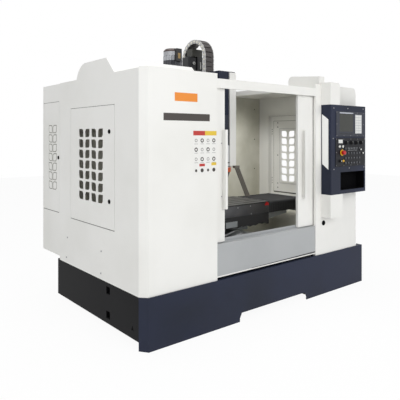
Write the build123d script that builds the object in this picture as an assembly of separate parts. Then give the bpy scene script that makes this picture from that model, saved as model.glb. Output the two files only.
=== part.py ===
"""Vertical machining centre: enclosed, three axes, moving table, sliding front doors.

Millimetres. +X to the operator's right, +Y to the back, +Z up. The model is drawn with Y = 0 on the
front of the skirt and X = 0 in the middle of the base, and is centred on its footprint at the end.
"""

from build123d import *
from math import cos, pi, sin
import os

# Whole machine
BASE_W = 2644.0          # skirt, end to end
SKIRT_H = 372.0          # floor to the top of the skirt
ENCLOSURE_W = 2550.0     # enclosure, flush with the skirt at its left end
WALL_TOP = 1960.0        # top of the side walls
FRONT_TOP = WALL_TOP + 8  # top of the two front panels
SIDE_REAR = 1385.0       # rear edge of the side walls
SHEET = 4.0              # enclosure sheet
FRONT_SET = 10.0         # front panels stand this far behind the skirt
CORNER_X = 43.5          # front left corner is cut off by this much along X
CORNER_Y = 52.0          # and by this much along Y
SEAT = 0.3               # gap between parts that sit against each other

LEFT = -BASE_W / 2
RIGHT = LEFT + ENCLOSURE_W
MID = (LEFT + RIGHT) / 2

# Skirt, coolant tank and base covers
SKIRT_SHEET = 6.0
ARCH_X, ARCH_W = 7.5, 839.0
ARCH_X0 = ARCH_X - ARCH_W / 2
ARCH_X1 = ARCH_X + ARCH_W / 2
ARCH_H = 68.0
ARCH_SLANT = 22.0
FLANGE_D = 34.0
TANK_D = 290.0
TANK_TOP = 330.0
TANK_FLOOR = 74.0
JACK_SLOT_Y = 509.0      # square slots for jacking bars in the base covers
JACK_SLOT_HALF = 28.0
JACK_SLOT_Z = (122.0, 308.0)
COVER_OVERHANG = 58.0    # base covers reach this far behind the side walls
JACK_POCKET = 60.0

# Bed, column and feet
FOOT_H = 55.0
FOOT_R = 45.0
BED_HALF_W = 330.0
BED_FRONT_LOW = 340.0
BED_FRONT = 130.0
BED_REAR = 1690.0
BED_STEP = 360.0
PAN_FALL = 60.0          # inner edge of the chip pans, below the rail seats
PAN_OUTER = 700.0
PAN_LIP = 60.0
BED_TOP = 520.0
BED_EDGE = 40.0          # flanks of the bed end this far below its rail seats
COLUMN_HALF_W = 290.0
COLUMN_FRONT = 1180.0
COLUMN_REAR = 1690.0
COLUMN_TOP_REAR = 1500.0
COLUMN_TOP = 2080.0

# Guides
RAIL_W = 35.0
RAIL_H = 36.0
Y_RAIL_X = 150.0         # half the distance between the two Y rails
X_RAIL_Y = 130.0
Z_RAIL_X = 125.0
SLIDE_GAP = 1.0

# Saddle and table
SADDLE_FRONT = 600.0
SADDLE_L = 320.0
SADDLE_TOP = 728.0
SADDLE_UNDER = 640.0     # underside of the saddle where it reaches over the way cover
SADDLE_HALF_W = 320.0
SADDLE_WING = 800.0
SADDLE_END = 970.0
TABLE_X = MID - 41.0     # table centre at rest
TABLE_Y = 694.0
TABLE_L = 1000.0
TABLE_W = 500.0
TABLE_T = 82.0
TABLE_TOP = 850.0
SLOT_N = 5
SLOT_PITCH = 90.0
SLOT_W = 18.0
SLOT_HEAD_W = 30.0
SLOT_HEAD_H = 13.0
SLOT_DEPTH = 32.0

# Y way cover: nested plates between the front frame and the saddle
COVER_N = 4              # steps of travel between the fixed plate and the saddle plate
COVER_FRONT = 80.0
COVER_L = 160.0
COVER_HALF_W = 205.0     # inside half width of the smallest plate
COVER_RIDGE = 596.0      # inside height of the smallest plate at its ridge
COVER_PITCH = 0.21       # fall of the roof for each unit across
COVER_SHEET = 3.0
COVER_GAP = 2.5
COVER_WIPER = 8.0
COVER_FOOT = BED_TOP - 30

# Head and spindle
SPINDLE_Y = 640.0
HEAD_HALF_W = 100.0
HEAD_BOTTOM = 1400.0
HEAD_CAST_TOP = 1680.0
HEAD_TOP = 2090.0
HEAD_REAR = 1040.0
CARRIAGE_BOTTOM = 1140.0
CARRIAGE_L = 440.0
COVER_STRIP_W = 76.0     # white cover, across the right of the head's front
COVER_SHEET_T = 3.0
COVER_STRIP_BOTTOM = 1206.0
CARTRIDGE_R = 99.0
HEAD_FRONT = SPINDLE_Y - CARTRIDGE_R + 10
CARTRIDGE_BOTTOM = 1191.0
COLLAR_R = 98.0
COLLAR_BOTTOM = 1148.0
CONE_BOTTOM = 1078.0
NOSE_R = 44.0
NOSE_BOTTOM = 1068.0
NOSE_L = 96.0
NOSE_CLEARANCE = 0.05
TAPER_R = 22.225         # 7:24 steep taper, large end
TAPER_L = 68.0
PIPE_R = 9.0
PIPE_GAP = 20.0          # spacing of the three pipes
PIPE_TOP = (MID + 102.0, COVER_STRIP_BOTTOM - 12.0)
PIPE_END = (MID + 249.0, 908.0)

# Doorway and sliding doors
DOORWAY_X0 = LEFT + 678.0
DOORWAY_X1 = RIGHT - 654.0
APRON_TOP = 652.0
APRON_BOTTOM = 396.0
HEADER_Z0, HEADER_Z1 = 1857.0, 1930.0
DOOR_LAP = 51.0          # each door is wider than half the doorway by this much
DOOR_W = (DOORWAY_X1 - DOORWAY_X0) / 2 + DOOR_LAP
DOOR_Y = 44.0            # front face of the doors
DOOR_T = 22.0
DOOR_BOTTOM = APRON_TOP + 4
DOOR_TOP = HEADER_Z1 - 52
ROLLER_R = 10.0
LEFT_DOOR_EDGE = DOORWAY_X0 + 104.0      # leading edges of the doors, left ajar
RIGHT_DOOR_EDGE = DOORWAY_X1 - 217.0
WINDOW_SET = 225.0       # leading edge of a door to its window
WINDOW_W = 360.0
WINDOW_Z0, WINDOW_Z1 = 960.0, 1660.0
WINDOW_R = 40.0
PANE_T = 8.0
PLATE_W, PLATE_T, PLATE_R = 167.0, 3.0, 36.0     # raised plate along the leading edge
HANDLE_Z0, HANDLE_Z1 = 914.0, 1535.0
HANDLE_W = 36.0
HANDLE_OUT = 46.0
HANDLE_T = 4.0
LEFT_HANDLE_X = LEFT_DOOR_EDGE - 42
RIGHT_HANDLE_X = RIGHT_DOOR_EDGE + 51

# Side doors in the two side walls
SIDE_Y0, SIDE_Y1 = 394.0, 1157.0
SIDE_Z0, SIDE_Z1 = 777.0, 1722.0
SIDE_GAP = 3.0
SIDE_DOOR_T = 18.0
PIN_R = 3.0
PIN_CLEARANCE = 0.05
PIN_SET = 6.0            # hinge pin axis to the door's outer and rear faces
PIN_L = 8.0              # how far a pin reaches into the door
VENT_COLS, VENT_ROWS = 4, 7
VENT_Y0, VENT_Y1 = 578.0, 992.0
VENT_Z0, VENT_Z1 = 962.0, 1544.0
VENT_W, VENT_H = 78.0, 68.0
VENT_R = 27.0

# Roof
ROOF_Z = 1941.0
ROOF_OPEN_X0 = MID - 393.0
ROOF_OPEN_X1 = MID + 387.0
REAR_WALL_Y = 1345.0
HOOD_FOOT, HOOD_CREST, HOOD_REAR = 390.0, 534.0, 1054.0
HOOD_TOP = ROOF_Z + 145
HOOD_GAP = 70.0          # between the hood and the changer motor
HOOD_RUN, HOOD_DROP = 160.0, 130.0       # length and drop of the hood's rounded rear
HOUSING_BEND = 0.15      # bulge of a rounded rear, for each unit of its run and drop
HOOD_LIP = 40.0          # roof left under each side of the hood
RACEWAY_W = 77.0         # narrow cable housing on the roof
RACEWAY_REAR = 390.0
RACEWAY_FRONT_TOP, RACEWAY_TOP = ROOF_Z + 105, ROOF_Z + 133
RACEWAY_RUN = 40.0
RACEWAY_LIP = 14.0

# Operator station
STATION_X0 = RIGHT - 570.0
STATION_X1 = RIGHT + 2.0
STATION_Z0, STATION_Z1 = 938.0, 1777.0
STATION_FRONT = -100.0
STATION_SHEET = 4.0
RACEWAY_X0 = STATION_X0 - 22
UPPER_DUCT_W, LOWER_DUCT_W = 146.0, 191.0
DUCT_R = 30.0
DUCT_BOTTOM, DUCT_TOP = 724.0, FRONT_TOP + 15
POCKET_X0 = STATION_X0 + 148
POCKET_X1 = STATION_X1 - 24
POCKET_Z0, POCKET_Z1 = 973.0, 1143.0
POCKET_D = 92.0
INLAY_FRONT = -66.0      # slanted pale inlay on the station's left side
INLAY_Z0, INLAY_H, INLAY_RISE = 1174.0, 471.0, 47.0
FASCIA_X0 = STATION_X0 + 65
FASCIA_X1 = STATION_X1 - 23
FASCIA_Z0, FASCIA_Z1 = 1198.0, 1465.0
DISPLAY_X0 = STATION_X0 + 74
DISPLAY_X1 = STATION_X1 - 38
DISPLAY_Z0, DISPLAY_Z1 = 1480.0, 1717.0
FASCIA_T = 6.0
SCREEN_X0 = DISPLAY_X0 + 52
SCREEN_X1 = SCREEN_X0 + 221
SCREEN_Z0 = DISPLAY_Z0 + 46
SCREEN_Z1 = DISPLAY_Z1 - 21
KNOB_X = [FASCIA_X0 + dx for dx in (159, 245, 328, 411)]
KNOB_Z = FASCIA_Z1 - 44
KNOB_R = 19.0
KNOB_H = 22.0
STOP_X = FASCIA_X0 + 94
STOP_Z = FASCIA_Z0 + 131
STOP_R = 20.0
STOP_H = 34.0
STOP_TRAVEL = 6.0
BUTTON_R = 11.0
BUTTON_H = 9.0
BUTTON_TRAVEL = 3.0
BUTTON_GAP = 0.4
STEM_R = 5.0
STOP_STEM_R = 8.0
STEM_CLEARANCE = 0.05
BUTTONS = {"button_white": (FASCIA_X0 + 56, FASCIA_Z0 + 189), "button_lit": (FASCIA_X0 + 107, FASCIA_Z0 + 189),
           "button_yellow": (FASCIA_X0 + 116, FASCIA_Z0 + 52)}
SELECTOR_X = FASCIA_X0 + 64
SELECTOR_Z = FASCIA_Z0 + 52
KEY_PITCH = 46.0
KEY_X0 = FASCIA_X0 + 157
KEY_Z1 = FASCIA_Z1 - 99
PAD_X0 = SCREEN_X1 + 48
PAD_PITCH_X, PAD_PITCH_Z = 30.0, 28.0

# Tool magazine and cable chain
CHANGER_X = MID - 271.0
CHANGER_Y = 1039.0
CHANGER_HALF = 92.0
CHANGER_Z0, CHANGER_Z1 = 1560.0, 1900.0
CHANGER_MOTOR_R = 92.0
HOOD_X0 = LEFT + SHEET + SEAT
HOOD_X1 = CHANGER_X - CHANGER_MOTOR_R - HOOD_GAP
CHANGER_MOTOR_TOP = 2330.0
FIN_N = 26
MAGAZINE_X = MID - 553.0
MAGAZINE_Y, MAGAZINE_Z = 790.0, 1690.0
MAGAZINE_R = 296.0
POT_N = 20
POT_R = 31.0
POT_BORE = 21.0
POT_L = 96.0
CHAIN_X0 = MID + 6.0
CHAIN_W = 113.0
CHAIN_FRONT, CHAIN_REAR = 872.0, 1250.0
CHAIN_TOP = 2464.0
CHAIN_H = 42.0
CHAIN_PLATE = 10.0
CHAIN_PITCH = 45.0
CHAIN_SLAT = 4.0
CHAIN_FOOT = 14.0        # bracket under the chain's moving end

# Electrical cabinet
CABINET_X1 = MID - 371.0
CABINET_REAR = 1775.0
CABINET_Z0, CABINET_Z1 = 406.0, 1956.0
CABINET_DOOR_Z0, CABINET_DOOR_Z1 = 795.0, 1797.0
CABINET_FRAME = 14.0
RECESS_COLS, RECESS_ROWS = 2, 7
RECESS_PITCH_Y, RECESS_PITCH_Z = 95.0, 87.0
RECESS_DEPTH = 1.0
MODULE_N = 4


def block(x0, x1, y0, y1, z0, z1):
    """A box between two corners."""
    centre = Pos((x0 + x1) / 2, (y0 + y1) / 2, (z0 + z1) / 2)
    return centre * Box(x1 - x0, y1 - y0, z1 - z0)


def prism(points, plane, start, end):
    """An outline drawn on a plane, extruded between two distances along that plane's normal."""
    face = plane.offset(start) * make_face(Polyline(*points, close=True))
    return extrude(face, amount=end - start, dir=plane.z_dir)


def prism_x(yz_points, x0, x1):
    return prism(yz_points, Plane.YZ, x0, x1)


def prism_y(xz_points, y0, y1):
    return prism(xz_points, Plane.XZ, -y1, -y0)


def prism_z(xy_points, z0, z1):
    return prism(xy_points, Plane.XY, z0, z1)


def disc_y(x, z, r, y0, y1):
    """A cylinder whose axis runs front to back."""
    return Pos(x, (y0 + y1) / 2, z) * Rot(90, 0, 0) * Cylinder(r, y1 - y0)


def disc_x(y, z, r, x0, x1):
    return Pos((x0 + x1) / 2, y, z) * Rot(0, 90, 0) * Cylinder(r, x1 - x0)


def disc_z(x, y, r, z0, z1):
    return Pos(x, y, (z0 + z1) / 2) * Cylinder(r, z1 - z0)


def mirrored(part):
    """The same piece on the other side of the machine's centre plane."""
    return mirror(part, Plane.YZ.offset(MID))


# Base

def front_skirt():
    """Folded navy sheet: flat front, a cut-off left corner, a top flange and a toe arch."""
    front = BASE_W / 2
    outer = [(LEFT, CORNER_Y + FRONT_SET), (LEFT + CORNER_X, 0), (front, 0), (front, CORNER_Y + FRONT_SET)]
    t = SKIRT_SHEET
    inner = [(front - t, CORNER_Y + FRONT_SET), (front - t, t), (LEFT + CORNER_X + t / 2, t),
             (LEFT + t, CORNER_Y + FRONT_SET)]
    skin = prism_z(outer + inner, 0, SKIRT_H)
    flange = block(LEFT + CORNER_X + t, front - t, t, FLANGE_D, SKIRT_H - t, SKIRT_H)
    arch = prism_y([(ARCH_X0, -1), (ARCH_X0, ARCH_H * 0.4), (ARCH_X0 + ARCH_SLANT, ARCH_H),
                    (ARCH_X1 - ARCH_SLANT, ARCH_H), (ARCH_X1, ARCH_H * 0.4), (ARCH_X1, -1)], -1, t + 1)
    return skin + flange - arch


def coolant_tank():
    """Closed tank behind the skirt, on two skids either side of the toe arch."""
    x0, x1 = LEFT + CORNER_X + 10, RIGHT - 40
    y0 = SKIRT_SHEET + SEAT
    body = block(x0, x1, y0, y0 + TANK_D, TANK_FLOOR, TANK_TOP)
    lid = block(x0 + 20, x1 - 20, y0 + FLANGE_D + 10, y0 + TANK_D - 20, TANK_TOP, TANK_TOP + 6)
    skids = [block(x, x + 60, y0 + 20, y0 + TANK_D - 20, 0, TANK_FLOOR)
             for x in (x0 + 40, ARCH_X0 - 160, ARCH_X1 + 100, x1 - 100)]
    return body + lid + skids


def base_side_covers():
    """Near-black plates at both ends of the bed, each with two blind square slots and a jacking mark."""
    y0, y1 = CORNER_Y + FRONT_SET + 13, SIDE_REAR + COVER_OVERHANG
    x0 = LEFT + 8
    plate = block(x0, x0 + SHEET, y0, y1, FOOT_H, SKIRT_H)
    y, h, t = JACK_SLOT_Y, JACK_SLOT_HALF, 3.0
    for z in JACK_SLOT_Z:
        plate += block(x0 + 1, x0 + JACK_POCKET + t, y - h - t, y + h + t, z - h - t, z + h + t)
        plate -= block(x0 - 1, x0 + JACK_POCKET, y - h, y + h, z - h, z + h)
    mark = [(y0 + 64, FOOT_H + 60), (y0 + 96, FOOT_H + 60), (y0 + 80, FOOT_H + 92)]
    plate -= prism_x(mark, x0 - 1, x0 + SHEET + 1)
    lip = block(x0 + SHEET, x0 + 30, y0, y1, SKIRT_H - SHEET, SKIRT_H)
    stays = [block(x0 + SHEET, MID - BED_HALF_W - SEAT, y, y + 40, 200, 240) for y in (500, 1200)]
    left = plate + lip + stays
    return [left, mirrored(left)]


def levelling_feet():
    """Screw feet with pads under the bed."""
    feet = []
    for x in (MID - BED_HALF_W + 70, MID + BED_HALF_W - 70):
        for y in (BED_FRONT_LOW + 70, (BED_FRONT_LOW + BED_REAR) / 2, BED_REAR - 70):
            pad = disc_z(x, y, FOOT_R, 0, 18)
            stem = disc_z(x, y, 14, 18, FOOT_H - SEAT)
            feet.append(pad + stem)
    return feet


def bed_casting():
    """Cast bed: stepped under the front to clear the tank, cored sides, rail seats on top."""
    side = [(BED_FRONT_LOW, FOOT_H), (BED_REAR, FOOT_H), (BED_REAR, BED_TOP - BED_EDGE),
            (COLUMN_FRONT - 20, BED_TOP - BED_EDGE), (BED_FRONT, BED_TOP - BED_EDGE), (BED_FRONT, BED_STEP + 60),
            (BED_FRONT_LOW, BED_STEP)]
    bed = prism_x(side, MID - BED_HALF_W, MID + BED_HALF_W)
    for x in (-Y_RAIL_X, Y_RAIL_X):
        bed += block(MID + x - 45, MID + x + 45, BED_FRONT, COLUMN_FRONT - 20, BED_TOP - BED_EDGE - 1, BED_TOP)
    bed += block(MID - COLUMN_HALF_W, MID + COLUMN_HALF_W, COLUMN_FRONT, BED_REAR, BED_TOP - BED_EDGE - 1, BED_TOP)
    for y in (BED_FRONT_LOW + 60, BED_FRONT_LOW + 480, BED_FRONT_LOW + 900):
        for sign in (-1, 1):
            x = MID + sign * (BED_HALF_W - 30)
            bed -= block(min(x, x + sign * 40), max(x, x + sign * 40), y, y + 340, FOOT_H + 70, BED_STEP + 100)
    return bed


def column_casting():
    """Column with a raked back, cored pockets in its sides and a cap for the Z drive."""
    side = [(COLUMN_FRONT, BED_TOP), (COLUMN_REAR, BED_TOP), (COLUMN_REAR, BED_TOP + 300),
            (COLUMN_TOP_REAR, COLUMN_TOP), (COLUMN_FRONT, COLUMN_TOP)]
    column = prism_x(side, MID - COLUMN_HALF_W, MID + COLUMN_HALF_W)
    for z0, z1 in ((BED_TOP + 120, 1060), (1140, 1500), (1580, 1960)):
        for sign in (-1, 1):
            x = MID + sign * (COLUMN_HALF_W - 40)
            pocket = block(min(x, x + sign * 50), max(x, x + sign * 50),
                           COLUMN_FRONT + 80, COLUMN_TOP_REAR - 60, z0, z1)
            column -= pocket
    shelf = block(MID - 110, MID + 110, COLUMN_FRONT - 112, COLUMN_FRONT, COLUMN_TOP - 20, COLUMN_TOP + 14)
    seats = [block(MID + x - 45, MID + x + 45, COLUMN_FRONT - 12, COLUMN_FRONT, 980, COLUMN_TOP - 30)
             for x in (-Z_RAIL_X, Z_RAIL_X)]
    return column + shelf + seats


def guide_rails():
    """Two Y rails on the bed and two Z rails on the column, each with a waisted section."""
    w, h = RAIL_W / 2, RAIL_H
    section = [(-w, 0), (w, 0), (w, h * 0.35), (w - 5, h * 0.5), (w - 5, h * 0.6), (w, h * 0.75), (w, h),
               (-w, h), (-w, h * 0.75), (-w + 5, h * 0.6), (-w + 5, h * 0.5), (-w, h * 0.35)]
    rails = []
    for x in (-Y_RAIL_X, Y_RAIL_X):
        points = [(MID + x + a, BED_TOP + b) for a, b in section]
        rails.append(prism_y(points, BED_FRONT + 20, COLUMN_FRONT - 40))
    for x in (-Z_RAIL_X, Z_RAIL_X):
        points = [(MID + x + a, COLUMN_FRONT - 12 - b) for a, b in section]
        rails.append(prism_z(points, 990, COLUMN_TOP - 36))
    return rails


def z_drive():
    """Z servo on the column cap with its ball screw down the front of the column."""
    y = COLUMN_FRONT - 60
    top = COLUMN_TOP + 14
    motor = Pos(MID, y, top + 26) * Box(120, 104, 52)
    motor += Pos(MID, y, top + 122) * Box(108, 96, 140)
    motor += disc_z(MID, y, 40, top + 192, top + 204)
    screw = disc_z(MID, y, 16, 1010, COLUMN_TOP - 20)
    bearing = block(MID - 60, MID + 60, COLUMN_FRONT - 95, COLUMN_FRONT, 985, 1035)
    return [motor, screw + bearing]


# Saddle and table

def carriage(x, y, rail_top, along_x):
    """One guide block, riding on the top of its rail with a running gap beside it."""
    long, wide = 110, 88
    size = (long, wide) if along_x else (wide, long)
    body = Pos(x, y, rail_top + 2) * Box(*size, 30)
    slot = RAIL_W + 2 * SLIDE_GAP
    cut = (long + 2, slot) if along_x else (slot, long + 2)
    return body - Pos(x, y, rail_top - 10) * Box(*cut, 20)


def saddle_casting():
    """Cross slide: a block on four carriages with wings that carry the X rails and cover ends."""
    y0, y1 = SADDLE_FRONT, SADDLE_FRONT + SADDLE_L
    z0 = BED_TOP + RAIL_H + SLIDE_GAP + 14
    body = block(MID - SADDLE_HALF_W, MID + SADDLE_HALF_W, y0, y1, z0, SADDLE_TOP)
    under = SADDLE_UNDER
    wing = [(MID - SADDLE_WING, SADDLE_TOP - 34), (MID - SADDLE_HALF_W, under), (MID + SADDLE_HALF_W, under),
            (MID + SADDLE_WING, SADDLE_TOP - 34), (MID + SADDLE_WING, SADDLE_TOP), (MID - SADDLE_WING, SADDLE_TOP)]
    body += prism_y(wing, TABLE_Y - X_RAIL_Y - 50, TABLE_Y + X_RAIL_Y + 50)
    for sign in (-1, 1):
        x = MID + sign * SADDLE_END
        inner = MID + sign * (SADDLE_WING - 10)
        body += block(min(inner, x), max(inner, x), TABLE_Y - 60, TABLE_Y + 60, SADDLE_TOP - 30, SADDLE_TOP)
        body += block(x - 6, x + 6, TABLE_Y - TABLE_W / 2 + 12, TABLE_Y + TABLE_W / 2 - 12,
                      SADDLE_TOP - 30, TABLE_TOP - 4)
    for x in (-Y_RAIL_X, Y_RAIL_X):
        for y in (y0 + 70, y1 - 70):
            body += carriage(MID + x, y, BED_TOP + RAIL_H, False)
    return body


def x_rails():
    w, h = RAIL_W / 2, RAIL_H - 8
    rails = []
    for dy in (-X_RAIL_Y, X_RAIL_Y):
        section = [(TABLE_Y + dy + a, SADDLE_TOP + b)
                   for a, b in ((-w, 0), (w, 0), (w, h * 0.35), (w - 5, h * 0.55), (w, h * 0.75), (w, h),
                                (-w, h), (-w, h * 0.75), (-w + 5, h * 0.55), (-w, h * 0.35))]
        rails.append(prism_x(section, MID - SADDLE_WING + 10, MID + SADDLE_WING - 10))
    return rails


def work_table():
    """Table with T-slots along X, end troughs and four carriages under it."""
    half, bottom = TABLE_W / 2, TABLE_TOP - TABLE_T
    outline = [(TABLE_Y - half, bottom), (TABLE_Y + half, bottom), (TABLE_Y + half, TABLE_TOP)]
    for i in reversed(range(SLOT_N)):
        y = TABLE_Y + (i - (SLOT_N - 1) / 2) * SLOT_PITCH
        neck = TABLE_TOP - SLOT_DEPTH + SLOT_HEAD_H
        outline += [(y + SLOT_W / 2, TABLE_TOP), (y + SLOT_W / 2, neck), (y + SLOT_HEAD_W / 2, neck),
                    (y + SLOT_HEAD_W / 2, TABLE_TOP - SLOT_DEPTH), (y - SLOT_HEAD_W / 2, TABLE_TOP - SLOT_DEPTH),
                    (y - SLOT_HEAD_W / 2, neck), (y - SLOT_W / 2, neck), (y - SLOT_W / 2, TABLE_TOP)]
    outline.append((TABLE_Y - half, TABLE_TOP))
    x0, x1 = TABLE_X - TABLE_L / 2, TABLE_X + TABLE_L / 2
    table = prism_x(outline, x0, x1)
    table += block(x0, x1, TABLE_Y - half, TABLE_Y - half + 16, bottom - 38, bottom)
    for dx in (-300, 300):
        for dy in (-X_RAIL_Y, X_RAIL_Y):
            table += carriage(TABLE_X + dx, TABLE_Y + dy, SADDLE_TOP + RAIL_H - 8, True)
    return table


def bellows(x0, x1, pleats):
    """Pleated X cover: an inverted trough whose top and sides fold in a zigzag."""
    half = TABLE_W / 2 - 12
    low, high = SADDLE_TOP + RAIL_H + 14, TABLE_TOP - 6
    pitch = (x1 - x0) / (2 * pleats)
    crest = [(x0 + i * pitch, high - (0 if i % 2 else 16)) for i in range(2 * pleats + 1)]
    roof = prism_y([(x0, low)] + crest + [(x1, low)], TABLE_Y - half, TABLE_Y + half)
    plan = [(x0 + i * pitch, TABLE_Y - half - (0 if i % 2 else -12)) for i in range(2 * pleats + 1)]
    front = prism_z([(x0, TABLE_Y - half + 24)] + plan + [(x1, TABLE_Y - half + 24)], SADDLE_TOP + 4, low)
    back = mirror(front, Plane.XZ.offset(-TABLE_Y))
    return roof + front + back


def x_bellows():
    end = SADDLE_END - 6 - SEAT
    left = bellows(MID - end, TABLE_X - TABLE_L / 2 - SEAT, 6)
    right = bellows(TABLE_X + TABLE_L / 2 + SEAT, MID + end, 7)
    return [left, right]


def way_cover_plate(step):
    """One telescopic plate: a low gabled roof with upright sides and a wiper lip at its front."""
    grow = step * (COVER_SHEET + COVER_GAP)
    y0 = COVER_FRONT + 3 * step + step * cover_open() / COVER_N
    w, ridge, t = COVER_HALF_W + grow, COVER_RIDGE + grow, COVER_SHEET
    foot = COVER_FOOT if step else BED_TOP - BED_EDGE
    eave, outer_eave = ridge - w * COVER_PITCH, ridge + t - (w + t) * COVER_PITCH
    outer = [(MID - w - t, foot), (MID - w - t, outer_eave), (MID, ridge + t), (MID + w + t, outer_eave),
             (MID + w + t, foot)]
    inner = [(MID + w, foot), (MID + w, eave), (MID, ridge), (MID - w, eave), (MID - w, foot)]
    plate = prism_y(outer + inner, y0, y0 + COVER_L)
    if step:
        half, deep = w - COVER_WIPER, COVER_GAP - SEAT
        side = ridge - half * COVER_PITCH
        lip = [(MID - half, side), (MID, ridge), (MID + half, side), (MID + half, side - deep),
               (MID, ridge - deep), (MID - half, side - deep)]
        plate += prism_y(lip, y0, y0 + COVER_WIPER)
    return plate


def cover_open():
    """How far the way cover is pulled out at rest, beyond fully closed."""
    return SADDLE_FRONT - COVER_FRONT - 3 * COVER_N - COVER_L


# Head

def head_casting():
    """Spindle head: box with a sloping underside, a carriage plate and four blocks on the Z rails."""
    half = HEAD_HALF_W
    plate_top = CARRIAGE_BOTTOM + CARRIAGE_L
    side = [(HEAD_FRONT, HEAD_BOTTOM), (SPINDLE_Y + CARTRIDGE_R + 20, HEAD_BOTTOM), (HEAD_REAR - 60, CARRIAGE_BOTTOM),
            (HEAD_REAR, CARRIAGE_BOTTOM), (HEAD_REAR, HEAD_CAST_TOP), (HEAD_FRONT, HEAD_CAST_TOP)]
    head = prism_x(side, MID - half, MID + half)
    back = COLUMN_FRONT - 12 - RAIL_H - SLIDE_GAP - 30
    head += block(MID - Z_RAIL_X - 45, MID + Z_RAIL_X + 45, HEAD_REAR, back, CARRIAGE_BOTTOM, plate_top)
    for x in (-Z_RAIL_X, Z_RAIL_X):
        for z in (CARRIAGE_BOTTOM + 70, plate_top - 70):
            body = block(MID + x - 42, MID + x + 42, back, back + 44, z - 60, z + 60)
            slot = block(MID + x - RAIL_W / 2 - SLIDE_GAP, MID + x + RAIL_W / 2 + SLIDE_GAP,
                         COLUMN_FRONT - 12 - RAIL_H, back + 50, z - 61, z + 61)
            head += body - slot
    return head


def motor_cover():
    """Folded cover over the spindle motor, closed all round, with the cable chain's bracket on top."""
    half, t = HEAD_HALF_W, 3.0
    z0 = HEAD_CAST_TOP + SEAT
    shell = block(MID - half, MID + half, HEAD_FRONT, HEAD_REAR, z0, HEAD_TOP)
    shell -= block(MID - half + t, MID + half - t, HEAD_FRONT + t, HEAD_REAR - t, z0 - 1, HEAD_TOP - t)
    foot = block(CHAIN_X0 - 50, CHAIN_X0 + CHAIN_W, CHAIN_FRONT, CHAIN_FRONT + CHAIN_H, HEAD_TOP, HEAD_TOP + CHAIN_FOOT)
    return shell + foot


def head_cover():
    """White folded cover over the right of the head's front and round its right side."""
    x1 = MID + HEAD_HALF_W
    x0 = x1 - COVER_STRIP_W
    t = COVER_SHEET_T
    y0 = strip_front()
    front = block(x0, x1 + SEAT + t, y0, y0 + t, COVER_STRIP_BOTTOM, HEAD_TOP - 9)
    edge = block(x0, x0 + t, y0, HEAD_FRONT - SEAT, HEAD_BOTTOM + 5, HEAD_TOP - 9)
    flank = block(x1 + SEAT, x1 + SEAT + t, y0, HEAD_REAR - 20, HEAD_BOTTOM + 5, HEAD_CAST_TOP)
    upper = block(x1 + SEAT, x1 + SEAT + t, y0, HEAD_REAR - 200, HEAD_CAST_TOP - 1, HEAD_TOP - 9)
    return front + edge + flank + upper


def spindle_cartridge():
    """Flanged cartridge that holds the spindle: barrel, collar and nose cone in one bolted unit."""
    barrel = disc_z(MID, SPINDLE_Y, CARTRIDGE_R, CARTRIDGE_BOTTOM, HEAD_BOTTOM - SEAT)
    for z in (CARTRIDGE_BOTTOM + 9, CARTRIDGE_BOTTOM + 44):
        groove = disc_z(MID, SPINDLE_Y, CARTRIDGE_R + 1, z - 4, z + 4)
        barrel -= groove - disc_z(MID, SPINDLE_Y, CARTRIDGE_R - 4, z - 5, z + 5)
    collar = disc_z(MID, SPINDLE_Y, COLLAR_R, COLLAR_BOTTOM, CARTRIDGE_BOTTOM)
    height = COLLAR_BOTTOM - CONE_BOTTOM
    cone = Pos(MID, SPINDLE_Y, CONE_BOTTOM + height / 2) * Cone(NOSE_R + 20, COLLAR_R - 8, height)
    bore = disc_z(MID, SPINDLE_Y, NOSE_R + NOSE_CLEARANCE, CONE_BOTTOM - 5, NOSE_BOTTOM + NOSE_L + 2)
    return barrel + collar + cone - bore


def strip_front():
    """Front face of the white cover, just clear of the cartridge."""
    return SPINDLE_Y - CARTRIDGE_R - SEAT - COVER_SHEET_T


def wash_pipes():
    """Three parallel coolant pipes slanting down from a manifold under the head cover, with nozzles."""
    y = strip_front() - PIPE_R
    (xa, za), (xb, zb) = PIPE_TOP, PIPE_END
    under, behind = COVER_STRIP_BOTTOM - SEAT, strip_front() + COVER_SHEET_T + SEAT
    pipes = block(xa - 31, xa + 31, y - PIPE_R - 1, behind + 7, za - 10, under)
    pipes += block(MID + HEAD_HALF_W - COVER_STRIP_W + 40, MID + HEAD_HALF_W, behind, behind + 7, under - 1, under + 60)
    for shift in (-PIPE_GAP, 0, PIPE_GAP):
        start, end = Vector(xa + shift, y, za + 2), Vector(xb + shift, y, zb)
        length = (end - start).length
        tube = Plane(origin=start, z_dir=end - start) * Pos(0, 0, length / 2) * Cylinder(PIPE_R - 1, length)
        tip = Plane(origin=end, z_dir=end - start) * Pos(0, 0, -20) * Cylinder(PIPE_R, 40)
        pipes += tube + tip
    return pipes


def spindle_nose():
    """Rotating spindle end: steep taper socket and two drive keys."""
    nose = disc_z(MID, SPINDLE_Y, NOSE_R, NOSE_BOTTOM, NOSE_BOTTOM + NOSE_L)
    small = TAPER_R - TAPER_L * 7 / 48
    taper = Pos(MID, SPINDLE_Y, NOSE_BOTTOM + TAPER_L / 2) * Cone(TAPER_R, small, TAPER_L)
    keys = [block(MID + x - 8, MID + x + 8, SPINDLE_Y - 7.5, SPINDLE_Y + 7.5, NOSE_BOTTOM - 7, NOSE_BOTTOM)
            for x in (-33, 33)]
    return nose - taper + keys


# Enclosure

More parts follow.
